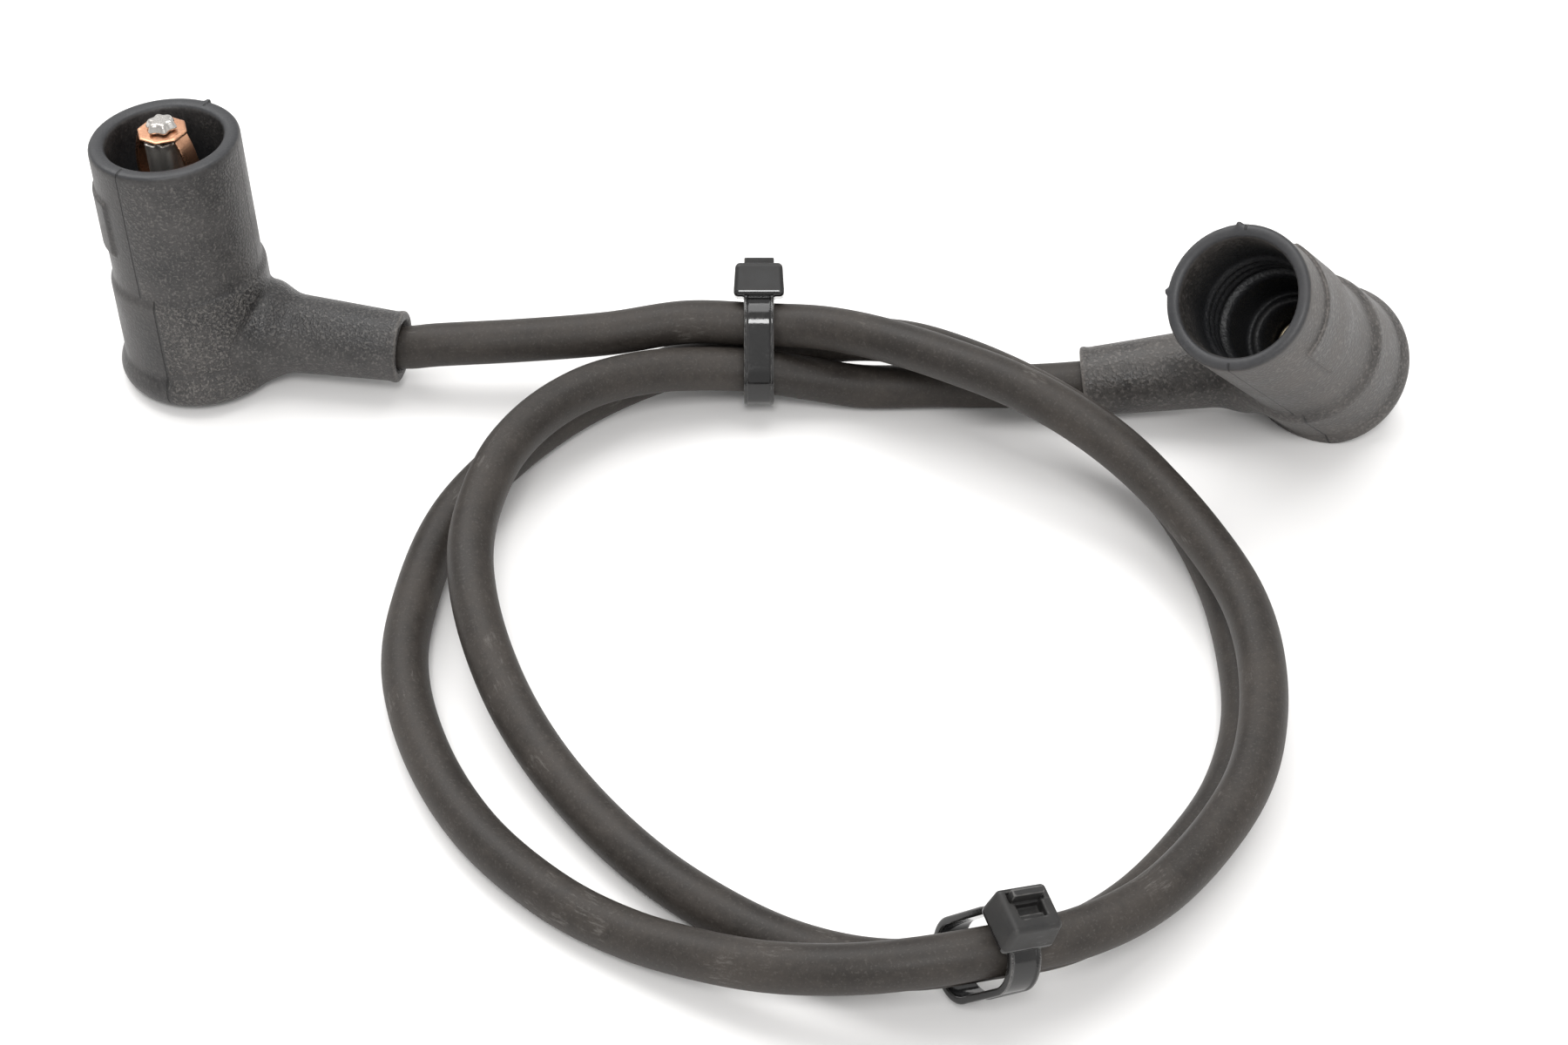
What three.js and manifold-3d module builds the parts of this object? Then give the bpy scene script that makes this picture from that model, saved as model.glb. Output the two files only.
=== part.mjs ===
// An ignition lead: a rubber cable laid in two turns, a right-angle rubber boot on each end with its
// metal terminal inside, and two cable ties round the turns.
// Millimetres, +Z up. The lead lies on the plane z = 0.
// Each boot has a frame of its own: its origin is the middle of its foot, +Z runs up the tube to
// the mouth, and the cable sleeve leaves on the +X side.

import * as THREE from 'three';
import { mergeVertices } from 'three/addons/utils/BufferGeometryUtils.js';
import Module from 'manifold-3d';

const wasm = await Module();
wasm.setup();

// Clearances
const TOUCH_GAP = 0.3;
const SEAT_DEPTH = 0.35;
// How far a cutting shape runs past the surface that it opens
const CUT_OVERRUN = 1;
const MERGE_DISTANCE = 1e-4;

// The slice of ground that a boot is pressed flat on
const GROUND_REACH = 60;
const GROUND_DEPTH = 20;

// Cable
const CABLE_RADIUS = 3.5;
const CABLE_SIDES = 10;
const CABLE_STEPS = 80;
const CABLE_ARC_DIVISIONS = 2000;
// Where the cable's middle point in a sleeve lies, as a share of the sleeve's length
const CABLE_POINT_IN_SLEEVE = 0.6;
const CORE_RADIUS = 0.9;
const CORE_BARE_LENGTH = 3.2;
const CORE_SEGMENTS = 16;

// Sheet metal of the terminals
const SHEET = 0.7;
const TONGUE_WIDTH = 5.4;
const CRIMP_LENGTH = 10.5;
const CRIMP_OVERHANG = 1.5;

// What the two boots share
const ROUND_SEGMENTS = 48;
const SMALL_SEGMENTS = 32;
const RIM_ROUNDING = 0.6;
const LEDGE_ROUNDING = 0.9;
const LEDGE_SLOPE = 0.1;
// The foot's outline from its middle outwards, as shares of its radius and height
const FOOT_OUTLINE = [[0, 0], [0.5, 0], [0.77, 0.11], [0.92, 0.3], [1, 0.58], [0.985, 0.8]];
const SLEEVE_LIP_HEIGHT = 0.25;
const SLEEVE_LIP_LENGTH = 1;
const SLEEVE_LIP_SLOPE = 0.5;
const LABEL_PAD_HEIGHT = 0.5;
const LABEL_PAD_SPREAD = THREE.MathUtils.degToRad(100);
const LABEL_PAD_SEGMENTS = 12;

const LEFT_BOOT = {
  height: 44,
  tubeRadius: 11.9,
  mouthRadius: 9.2,
  mouthDepth: 24,
  bodyRadius: 13.2,
  ledgeHeight: 20.8,
  footRadius: 14.4,
  footHeight: 6.6,
  elbowHeight: 9,
  sleeveLength: 34.2,
  sleeveRootRadius: 8.3,
  sleeveRadius: 6.4,
  sleeveEndRadius: 5.6,
  sleeveLean: THREE.MathUtils.degToRad(4.7),
  sleeveNeckLength: 5,
  cableEnd: 8.5,
  padTop: 37,
  padLength: 10,
};

const RIGHT_BOOT = {
  height: 50,
  tubeRadius: 11.2,
  mouthRadius: 9.1,
  mouthDepth: 19,
  bodyRadius: 12.9,
  ledgeHeight: 17.5,
  footRadius: 13.6,
  footHeight: 6.2,
  elbowHeight: 9.5,
  sleeveLength: 37.4,
  sleeveRootRadius: 8,
  sleeveRadius: 6.4,
  sleeveEndRadius: 5.5,
  sleeveLean: THREE.MathUtils.degToRad(-17),
  sleeveNeckLength: 6,
  cableEnd: 12,
  padTop: 42,
  padLength: 13,
};

// Left terminal: a fluted post with a riveted contact spring on top
const POST_RADIUS = 3.3;
const POST_FLUTE_DEPTH = 0.45;
const POST_LOBES = 6;
const POST_OUTLINE_POINTS = 72;
const POST_CUT_FROM_AXIS = 1.8;
const POST_WELL_DEPTH = 3;
const MOUTH_FLOOR_ROUNDING = 1;
const POST_ABOVE_RIM = 0.6;
const SPRING_SHEET = 0.5;
const SPRING_CAP_RADIUS = 3.6;
const SPRING_ARM_WIDTH = 3;
const SPRING_ARM_BOW = 6.6;
const SPRING_ARM_BOW_AT = 0.45;
const SPRING_ARM_DROP = 13;
const SPRING_ARM_STEPS = 10;
const SPRING_ARM_OVERLAP = 0.4;
const SPRING_ARM_TURN = THREE.MathUtils.degToRad(-20);
const RIVET_HEAD_RADIUS = 2.7;
const RIVET_HEAD_HEIGHT = 1.5;
// The head's rounded outline from its rim inwards, as shares of its radius and height
const RIVET_HEAD_OUTLINE = [[1, 0], [1, 0.4], [0.75, 0.85], [0.4, 1], [0, 1]];
const RIVET_SHANK_RADIUS = 1.3;
const RIVET_SHANK_LENGTH = 6;

// Right terminal: a cup that snaps over a spark plug's stud
const CUP_RADIUS = 4.2;
const CUP_TOP = 17.5;
const CUP_LEAD_IN = 1.2;
const STEP_RADIUS = 7.6;
const STEP_DEPTH = 9;
const STEP_ROUNDING = 0.6;
const CLIP_SECTION = 0.6;
const CLIP_OPENING = THREE.MathUtils.degToRad(60);
const CLIP_BELOW_CUP_TOP = 3;
const CLIP_SEGMENTS = 28;

// Ties: strap, head and cut tail are one moulding
const TIE_WIDTH = 4.8;
const TIE_THICKNESS = 1.1;
const TIE_HEAD_WIDTH = 8.2;
const TIE_HEAD_LENGTH = 7.4;
const TIE_HEAD_HEIGHT = 5.4;
const TIE_HEAD_ROUNDING = 0.8;
const TIE_POCKET_WIDTH = 4;
const TIE_POCKET_LENGTH = 2.4;
const TIE_POCKET_DEPTH = 1.6;
const TIE_TAIL_STUB = 1.2;
const TIE_CORNER_STEPS = 10;

// Where the boots and ties lie
const LEFT_BOOT_ELBOW = [-95.1, 38.1, 8.6];
const LEFT_TUBE_DIRECTION = [-0.046, 0.1, 0.994];
const LEFT_SLEEVE_DIRECTION = [0.984, -0.175, -0.02];
const RIGHT_BOOT_ELBOW = [84.8, 25.3, 12.4];
const RIGHT_TUBE_DIRECTION = [-0.44, -0.505, 0.743];
const RIGHT_SLEEVE_DIRECTION = [-0.984, 0.019, -0.176];

const UPPER_TIE_X = -4;
const UPPER_TIE_TOP_STRAND = [32, 12.9];
const UPPER_TIE_BACK_STRAND = [34.5, 5.5];
const UPPER_TIE_FRONT_STRAND = [27, 7.4];
const UPPER_TIE_SLACK = 0.8;
const UPPER_TIE_HEAD_ANGLE = THREE.MathUtils.degToRad(45);

const LOWER_TIE_X = 27;
const LOWER_TIE_HIGH_STRAND = [-94, 13.5];
const LOWER_TIE_LOW_STRAND = [-89.5, 6.95];
const LOWER_TIE_CLEARANCE = 1.1;
const LOWER_TIE_SLACK = 1.4;
const LOWER_TIE_RUN = [0.974, 0.228, 0];
const LOWER_TIE_SKEW = THREE.MathUtils.degToRad(18);
const LOWER_TIE_HEAD_ANGLE = THREE.MathUtils.degToRad(-25);

// The cable's free route from the left sleeve to the right one, chosen point by point
const CABLE_ROUTE = [
  [-56, 31.5, 9], [-42, 31.5, 10], [-28, 31.5, 11.5], [-15.5, 32.5, 13],
  [UPPER_TIE_X, ...UPPER_TIE_TOP_STRAND],
  [6.2, 29.9, 14.1], [15.5, 24.9, 16.1], [26, 17.8, 18], [36.5, 11, 18.5], [45.5, 5, 17],
  [54, -2.2, 14.4], [62, -13.5, 12.3], [68, -28.5, 11.5], [69, -44.5, 11.5], [66, -60, 11.5],
  [60, -71.5, 11.5], [50, -83.5, 12], [39.5, -90.3, 12.8],
  [LOWER_TIE_X, ...LOWER_TIE_HIGH_STRAND],
  [16, -95.5, 12.7], [7, -95, 11], [-2.5, -93, 9], [-12, -89, 6.5], [-21.5, -84, 4.5],
  [-31.5, -77.5, 4], [-43, -66, 4], [-51.5, -51, 4], [-56, -34.5, 4], [-55.5, -20, 4],
  [-51.5, -3, 4], [-43.5, 10.5, 4], [-32.5, 22.5, 4], [-18.5, 31, 4.5],
  [UPPER_TIE_X, ...UPPER_TIE_BACK_STRAND],
  [5, 34.3, 7], [13, 32.4, 9.4], [20.5, 29, 11.5], [29, 24.5, 12], [38.2, 18.5, 11.8],
  [46.5, 13.2, 10], [54, 7, 7.6], [60.8, -2.2, 5.3], [65.5, -15, 4], [67.5, -30, 4],
  [67, -45, 4], [63, -58, 4], [56.5, -68.5, 4], [47.5, -79, 4.5], [38, -86.2, 6],
  [LOWER_TIE_X, ...LOWER_TIE_LOW_STRAND],
  [18, -90.7, 6.4], [10, -89.3, 5.2], [1.5, -85.9, 4.1], [-6.5, -81.5, 4],
  [-17.5, -73, 4], [-27, -63, 4.5], [-35, -52, 5.5], [-41, -41, 7.5], [-45.5, -28, 10],
  [-47, -17, 11.5], [-46, -6.5, 11.8], [-43, 4, 11.8], [-37.5, 13, 11.5], [-30.5, 19.3, 11.2],
  [-22, 23.6, 10.2], [-13, 26, 8.8],
  [UPPER_TIE_X, ...UPPER_TIE_FRONT_STRAND],
  [4, 27.2, 5.6], [12.5, 27.2, 3.9], [24, 27.3, 3.9], [37, 27, 4.1],
];

const boot_rubber = new THREE.MeshStandardMaterial({ color: 0x4a4644, roughness: 0.85, metalness: 0 });
const cable_rubber = new THREE.MeshStandardMaterial({ color: 0x3a3634, roughness: 0.7, metalness: 0 });
const core_fibre = new THREE.MeshStandardMaterial({ color: 0x26231f, roughness: 0.9, metalness: 0 });
const tie_nylon = new THREE.MeshStandardMaterial({ color: 0x161616, roughness: 0.35, metalness: 0 });
const steel = new THREE.MeshStandardMaterial({ color: 0xb9b6b0, roughness: 0.35, metalness: 1 });
const copper = new THREE.MeshStandardMaterial({ color: 0xb97547, roughness: 0.4, metalness: 1 });
const brass = new THREE.MeshStandardMaterial({ color: 0xb59a5c, roughness: 0.4, metalness: 1 });

// Turns a closed three.js geometry into a solid that can be joined and cut.
function solid(geometry) {
  const bare = geometry.clone();
  bare.deleteAttribute('normal');
  bare.deleteAttribute('uv');
  const merged = mergeVertices(bare, MERGE_DISTANCE);
  const corners = merged.index.array;
  const kept = [];
  for (let i = 0; i < corners.length; i += 3) {
    const [a, b, c] = [corners[i], corners[i + 1], corners[i + 2]];
    if (a !== b && b !== c && c !== a) kept.push(a, b, c);
  }
  return new wasm.Manifold(new wasm.Mesh({
    numProp: 3,
    vertProperties: new Float32Array(merged.attributes.position.array),
    triVerts: new Uint32Array(kept),
  }));
}

// Gives a solid's surface back as a named mesh.
function pieceOf(name, body, material) {
  const surface = body.getMesh();
  const geometry = new THREE.BufferGeometry();
  const corners = Float32Array.from(surface.vertProperties);
  geometry.setAttribute('position', new THREE.BufferAttribute(corners, 3));
  geometry.setIndex(new THREE.BufferAttribute(Uint32Array.from(surface.triVerts), 1));
  geometry.computeVertexNormals();
  const mesh = new THREE.Mesh(geometry, material);
  mesh.name = name;
  return mesh;
}

// A round solid about +Z. The profile is a list of [radius, height] that runs upwards.
function turned(profile, segments = ROUND_SEGMENTS) {
  const points = profile.map(([radius, height]) => new THREE.Vector2(radius, height));
  return new THREE.LatheGeometry(points, segments).rotateX(Math.PI / 2);
}

function cylinder(radius, low, high, segments = SMALL_SEGMENTS) {
  return turned([[0, low], [radius, low], [radius, high], [0, high]], segments);
}

function block(low, high) {
  const size = high.map((value, i) => value - low[i]);
  const centre = high.map((value, i) => (value + low[i]) / 2);
  return new THREE.BoxGeometry(...size).translate(...centre);
}

// A flat outline given a depth along +Z.
function raised(outline, depth, curveSegments = SMALL_SEGMENTS) {
  return new THREE.ExtrudeGeometry(outline, { depth, bevelEnabled: false, curveSegments });
}

// Places something made about +Z on a boot's sleeve axis, so that +Z becomes the sleeve's way out.
function sleeveMatrix(boot) {
  const turn = new THREE.Matrix4().makeRotationY(Math.PI / 2 + boot.sleeveLean);
  return turn.setPosition(0, 0, boot.elbowHeight);
}

// The frame of a boot in the lead's frame.
function bootMatrix(boot, elbow, tube, sleeve) {
  const up = new THREE.Vector3(...tube).normalize();
  const across = new THREE.Vector3().crossVectors(up, new THREE.Vector3(...sleeve)).normalize();
  const out = new THREE.Vector3().crossVectors(across, up);
  const foot = new THREE.Vector3(...elbow).addScaledVector(up, -boot.elbowHeight);
  return new THREE.Matrix4().makeBasis(out, across, up).setPosition(foot);
}

// The raised blank pad that stands on a tube's far side from the sleeve.
function labelPad(boot) {
  const outer = boot.tubeRadius + LABEL_PAD_HEIGHT;
  const inner = boot.tubeRadius - SEAT_DEPTH;
  const from = Math.PI - LABEL_PAD_SPREAD / 2;
  const to = Math.PI + LABEL_PAD_SPREAD / 2;
  const outline = new THREE.Shape();
  outline.absarc(0, 0, outer, from, to, false);
  outline.absarc(0, 0, inner, to, from, true);
  const pad = raised(outline, boot.padLength, LABEL_PAD_SEGMENTS);
  return pad.translate(0, 0, boot.padTop - boot.padLength);
}

function bootBody(boot) {
  const { height, tubeRadius, bodyRadius, ledgeHeight, footRadius, footHeight } = boot;
  return solid(turned([
    ...FOOT_OUTLINE.map(([across, up]) => [footRadius * across, footHeight * up]),
    [bodyRadius, footHeight],
    [bodyRadius, ledgeHeight - LEDGE_ROUNDING],
    [bodyRadius - LEDGE_ROUNDING, ledgeHeight],
    [tubeRadius, ledgeHeight + LEDGE_SLOPE],
    [tubeRadius, height - RIM_ROUNDING],
    [tubeRadius - RIM_ROUNDING, height],
    [0, height],
  ]));
}

function sleeveBody(boot) {
  const { sleeveLength, sleeveRootRadius, sleeveRadius, sleeveEndRadius, sleeveNeckLength, tubeRadius } = boot;
  const lipRadius = sleeveEndRadius + SLEEVE_LIP_HEIGHT;
  const lipStart = sleeveLength - SLEEVE_LIP_LENGTH;
  return solid(turned([
    [0, 0],
    [sleeveRootRadius, 0],
    [sleeveRootRadius, tubeRadius],
    [sleeveRadius, tubeRadius + sleeveNeckLength],
    [sleeveEndRadius, lipStart - SLEEVE_LIP_SLOPE],
    [lipRadius, lipStart],
    [lipRadius, sleeveLength - SLEEVE_LIP_SLOPE],
    [lipRadius - SLEEVE_LIP_SLOPE, sleeveLength],
    [0, sleeveLength],
  ]).applyMatrix4(sleeveMatrix(boot)));
}

const crimpInnerRadius = CABLE_RADIUS + TOUCH_GAP;
const crimpOuterRadius = crimpInnerRadius + SHEET;
const crimpBoreRadius = crimpOuterRadius + TOUCH_GAP;

// The bore along a sleeve: close on the cable, wider round the crimp, and closed past the elbow.
function sleeveBore(boot) {
  const crimpEnd = boot.cableEnd - CRIMP_OVERHANG + CRIMP_LENGTH + TOUCH_GAP;
  const wide = cylinder(crimpBoreRadius, -crimpBoreRadius, crimpEnd);
  const close = cylinder(crimpInnerRadius, 0, boot.sleeveLength + CUT_OVERRUN);
  return solid(wide.applyMatrix4(sleeveMatrix(boot))).add(solid(close.applyMatrix4(sleeveMatrix(boot))));
}

// The slice of ground that the rubber presses flat on, in a boot's own frame.
function groundUnder(matrix) {
  const foot = new THREE.Vector3().setFromMatrixPosition(matrix);
  const ground = block([-GROUND_REACH, -GROUND_REACH, -GROUND_DEPTH], [GROUND_REACH, GROUND_REACH, 0]);
  ground.translate(foot.x, foot.y, 0);
  return solid(ground.applyMatrix4(matrix.clone().invert()));
}

function bootShell(boot, matrix, cavity) {
  return bootBody(boot)
    .add(sleeveBody(boot))
    .add(solid(labelPad(boot)))
    .subtract(cavity)
    .subtract(sleeveBore(boot))
    .subtract(groundUnder(matrix));
}

// The crimp barrel round the cable's end and the tongue that runs from it under the tube's axis.
function crimpAndTongue(boot, tongueEnd) {
  const low = boot.cableEnd - CRIMP_OVERHANG;
  const barrel = turned([
    [crimpInnerRadius, low],
    [crimpOuterRadius, low],
    [crimpOuterRadius, low + CRIMP_LENGTH],
    [crimpInnerRadius, low + CRIMP_LENGTH],
    [crimpInnerRadius, low],
  ], SMALL_SEGMENTS);
  const tongueTop = -Math.sqrt(crimpInnerRadius ** 2 - (TONGUE_WIDTH / 2) ** 2);
  const tongue = block(
    [-tongueTop, -TONGUE_WIDTH / 2, -tongueEnd],
    [-tongueTop + SHEET, TONGUE_WIDTH / 2, low + SHEET],
  );
  const round = cylinder(crimpOuterRadius, -tongueEnd - SHEET, low + SHEET);
  const joined = solid(barrel).add(solid(tongue).intersect(solid(round)));
  return { body: joined.transform(sleeveMatrix(boot).elements), top: boot.elbowHeight + tongueTop };
}

function coreEnd(name, boot) {
  const high = boot.cableEnd - TOUCH_GAP;
  const core = cylinder(CORE_RADIUS, high - CORE_BARE_LENGTH, high, CORE_SEGMENTS);
  return pieceOf(name, solid(core.applyMatrix4(sleeveMatrix(boot))), core_fibre);
}

// A round outline whose edge waves in and out.
function flutedShape(radius, depth, lobes) {
  const outline = [];
  for (let i = 0; i < POST_OUTLINE_POINTS; i += 1) {
    const angle = (i / POST_OUTLINE_POINTS) * 2 * Math.PI;
    const r = radius - (depth / 2) * (1 - Math.cos(lobes * angle));
    outline.push(new THREE.Vector2(r * Math.cos(angle), r * Math.sin(angle)));
  }
  return new THREE.Shape(outline);
}

const leftMatrix = bootMatrix(LEFT_BOOT, LEFT_BOOT_ELBOW, LEFT_TUBE_DIRECTION, LEFT_SLEEVE_DIRECTION);
const rightMatrix = bootMatrix(RIGHT_BOOT, RIGHT_BOOT_ELBOW, RIGHT_TUBE_DIRECTION, RIGHT_SLEEVE_DIRECTION);
const postTop = LEFT_BOOT.height + POST_ABOVE_RIM;
const springLow = postTop + TOUCH_GAP;
const rivetLow = springLow + SPRING_SHEET + TOUCH_GAP;

function leftBoot() {
  const { height, mouthRadius, mouthDepth, elbowHeight } = LEFT_BOOT;
  const floor = height - mouthDepth;
  const cavity = turned([
    [0, elbowHeight],
    [POST_RADIUS + TOUCH_GAP, elbowHeight],
    [POST_RADIUS + TOUCH_GAP, floor - POST_WELL_DEPTH],
    [mouthRadius - MOUTH_FLOOR_ROUNDING, floor],
    [mouthRadius, floor + MOUTH_FLOOR_ROUNDING],
    [mouthRadius, height + CUT_OVERRUN],
    [0, height + CUT_OVERRUN],
  ]);
  return pieceOf('left_boot', bootShell(LEFT_BOOT, leftMatrix, solid(cavity)), boot_rubber);
}

function leftTerminal() {
  const { body, top } = crimpAndTongue(LEFT_BOOT, POST_RADIUS);
  const base = top - SHEET;
  const outline = flutedShape(POST_RADIUS, POST_FLUTE_DEPTH, POST_LOBES);
  const bore = flutedShape(POST_RADIUS - SHEET, POST_FLUTE_DEPTH, POST_LOBES);
  outline.holes.push(new THREE.Path(bore.getPoints().reverse()));
  const post = raised(outline, postTop - base);
  const nearCrimp = LEFT_BOOT.elbowHeight + crimpInnerRadius;
  const cableSide = block(
    [POST_CUT_FROM_AXIS, -POST_RADIUS, top + LEDGE_SLOPE],
    [POST_RADIUS + SHEET, POST_RADIUS, nearCrimp],
  );
  const opened = solid(post.translate(0, 0, base)).subtract(solid(cableSide));
  return pieceOf('left_terminal', body.add(opened), steel);
}

// One arm of the contact spring, bowed out from the cap's edge, as a strip seen from its side.
function springArm() {
  const edge = SPRING_CAP_RADIUS - SPRING_ARM_OVERLAP;
  const bow = new THREE.QuadraticBezierCurve(
    new THREE.Vector2(edge, springLow + SPRING_SHEET / 2),
    new THREE.Vector2(SPRING_ARM_BOW, springLow - SPRING_ARM_DROP * SPRING_ARM_BOW_AT),
    new THREE.Vector2(POST_RADIUS + SPRING_SHEET, springLow - SPRING_ARM_DROP),
  );
  const outer = [];
  const inner = [];
  for (let i = 0; i <= SPRING_ARM_STEPS; i += 1) {
    const at = bow.getPoint(i / SPRING_ARM_STEPS);
    const along = bow.getTangent(i / SPRING_ARM_STEPS);
    const side = new THREE.Vector2(-along.y, along.x).multiplyScalar(SPRING_SHEET / 2);
    outer.push(at.clone().add(side));
    inner.push(at.clone().sub(side));
  }
  const strip = new THREE.Shape([...outer, ...inner.reverse()]);
  const arm = raised(strip, SPRING_ARM_WIDTH);
  return arm.rotateX(Math.PI / 2).translate(0, SPRING_ARM_WIDTH / 2, 0);
}

function leftContactSpring() {
  const hole = RIVET_SHANK_RADIUS + TOUCH_GAP;
  const cap = turned([
    [hole, springLow],
    [SPRING_CAP_RADIUS, springLow],
    [SPRING_CAP_RADIUS, springLow + SPRING_SHEET],
    [hole, springLow + SPRING_SHEET],
    [hole, springLow],
  ], SMALL_SEGMENTS);
  const first = springArm();
  const second = first.clone().rotateZ(Math.PI);
  const spring = solid(cap).add(solid(first)).add(solid(second));
  const clear = solid(cylinder(POST_RADIUS + TOUCH_GAP, 0, postTop + TOUCH_GAP));
  const mesh = pieceOf('left_contact_spring', spring.subtract(clear), copper);
  mesh.rotation.z = SPRING_ARM_TURN;
  return mesh;
}

function leftRivet() {
  const head = RIVET_HEAD_OUTLINE.map(([across, up]) => (
    [RIVET_HEAD_RADIUS * across, rivetLow + RIVET_HEAD_HEIGHT * up]
  ));
  const shape = turned([
    [0, rivetLow - RIVET_SHANK_LENGTH],
    [RIVET_SHANK_RADIUS, rivetLow - RIVET_SHANK_LENGTH],
    [RIVET_SHANK_RADIUS, rivetLow],
    ...head,
  ], SMALL_SEGMENTS);
  return pieceOf('left_rivet', solid(shape), steel);
}

function rightBoot() {
  const { height, mouthRadius, mouthDepth, elbowHeight } = RIGHT_BOOT;
  const step = height - mouthDepth;
  const floor = step - STEP_DEPTH;
  const cavity = turned([
    [0, elbowHeight - crimpOuterRadius],
    [CUP_RADIUS + TOUCH_GAP, elbowHeight - crimpOuterRadius],
    [CUP_RADIUS + TOUCH_GAP, CUP_TOP],
    [CUP_RADIUS + CUP_LEAD_IN, floor],
    [STEP_RADIUS - STEP_ROUNDING, floor],
    [STEP_RADIUS, floor + STEP_ROUNDING],
    [STEP_RADIUS, step - STEP_ROUNDING],
    [mouthRadius, step],
    [mouthRadius, height + CUT_OVERRUN],
    [0, height + CUT_OVERRUN],
  ]);
  return pieceOf('right_boot', bootShell(RIGHT_BOOT, rightMatrix, solid(cavity)), boot_rubber);
}

function rightTerminal() {
  const { body, top } = crimpAndTongue(RIGHT_BOOT, 0);
  const floor = top - SHEET;
  const inner = CUP_RADIUS - SHEET;
  const cup = turned([
    [0, floor],
    [CUP_RADIUS, floor],
    [CUP_RADIUS, CUP_TOP],
    [inner, CUP_TOP],
    [inner, floor + SHEET],
    [0, floor + SHEET],
  ], SMALL_SEGMENTS);
  const outside = body.subtract(solid(cylinder(inner, floor, CUP_TOP)));
  return pieceOf('right_terminal', solid(cup).add(outside), brass);
}

function rightRetainingClip() {
  const outer = CUP_RADIUS - SHEET - TOUCH_GAP;
  const inner = outer - CLIP_SECTION;
  const outline = new THREE.Shape();
  const from = CLIP_OPENING / 2;
  const to = 2 * Math.PI - from;
  outline.absarc(0, 0, outer, from, to, false);
  outline.absarc(0, 0, inner, to, from, true);
  const clip = raised(outline, CLIP_SECTION, CLIP_SEGMENTS);
  clip.translate(0, 0, CUP_TOP - CLIP_BELOW_CUP_TOP);
  return pieceOf('right_retaining_clip', solid(clip), steel);
}

// The closed outline that a strap takes round a few strands, given as the strands' centres in
// counter-clockwise order.
function strapOutline(centres, radius) {
  const outline = new THREE.Path();
  centres.forEach((centre, i) => {
    const before = centres[(i + centres.length - 1) % centres.length];
    const after = centres[(i + 1) % centres.length];
    const from = Math.atan2(centre[1] - before[1], centre[0] - before[0]) - Math.PI / 2;
    let to = Math.atan2(after[1] - centre[1], after[0] - centre[0]) - Math.PI / 2;
    while (to < from) to += 2 * Math.PI;
    outline.absarc(centre[0], centre[1], radius, from, to, false);
  });
  return outline;
}

// A tie about +Z: its strap round the strands, and its head on the strap round headCentre.
function tie(name, centres, headCentre, slack, headAngle) {
  const innerRadius = CABLE_RADIUS + slack;
  const outside = strapOutline(centres, innerRadius + TIE_THICKNESS).getPoints(TIE_CORNER_STEPS);
  const inside = strapOutline(centres, innerRadius).getPoints(TIE_CORNER_STEPS);
  const outline = new THREE.Shape(outside);
  outline.holes.push(new THREE.Path(inside.reverse()));
  const strap = raised(outline, TIE_WIDTH).translate(0, 0, -TIE_WIDTH / 2);

  const flat = TIE_HEAD_ROUNDING;
  const [halfLength, halfWidth] = [TIE_HEAD_LENGTH / 2, TIE_HEAD_WIDTH / 2];
  const face = new THREE.Shape([
    [halfLength - flat, halfWidth], [-halfLength + flat, halfWidth], [-halfLength, halfWidth - flat],
    [-halfLength, -halfWidth + flat], [-halfLength + flat, -halfWidth], [halfLength - flat, -halfWidth],
    [halfLength, -halfWidth + flat], [halfLength, halfWidth - flat],
  ].map(([x, y]) => new THREE.Vector2(x, y)));
  const top = innerRadius + TIE_HEAD_HEIGHT;
  const box = raised(face, TIE_HEAD_HEIGHT).translate(0, 0, innerRadius);
  const pocket = block(
    [-TIE_POCKET_LENGTH / 2, -TIE_POCKET_WIDTH / 2, top - TIE_POCKET_DEPTH],
    [TIE_POCKET_LENGTH / 2, TIE_POCKET_WIDTH / 2, top + CUT_OVERRUN],
  );
  const tailAt = -halfLength + flat + TIE_THICKNESS;
  const tail = block(
    [tailAt - TIE_THICKNESS / 2, -TIE_WIDTH / 2, innerRadius],
    [tailAt + TIE_THICKNESS / 2, TIE_WIDTH / 2, top + TIE_TAIL_STUB],
  );
  const head = solid(box).subtract(solid(pocket)).add(solid(tail));
  const outwards = new THREE.Matrix4().makeBasis(
    new THREE.Vector3(-Math.sin(headAngle), Math.cos(headAngle), 0),
    new THREE.Vector3(0, 0, 1),
    new THREE.Vector3(Math.cos(headAngle), Math.sin(headAngle), 0),
  ).setPosition(headCentre[0], headCentre[1], 0);
  return pieceOf(name, solid(strap).add(head.transform(outwards.elements)), tie_nylon);
}

// Round the three strands at the back. The tie's own plane is the lead's YZ plane.
function upperTie() {
  const strands = [UPPER_TIE_TOP_STRAND, UPPER_TIE_FRONT_STRAND, UPPER_TIE_BACK_STRAND];
  const mesh = tie('upper_tie', strands, UPPER_TIE_TOP_STRAND, UPPER_TIE_SLACK, UPPER_TIE_HEAD_ANGLE);
  const basis = new THREE.Matrix4().makeBasis(
    new THREE.Vector3(0, 1, 0),
    new THREE.Vector3(0, 0, 1),
    new THREE.Vector3(1, 0, 0),
  );
  mesh.quaternion.setFromRotationMatrix(basis);
  mesh.position.set(UPPER_TIE_X, 0, 0);
  return mesh;
}

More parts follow.
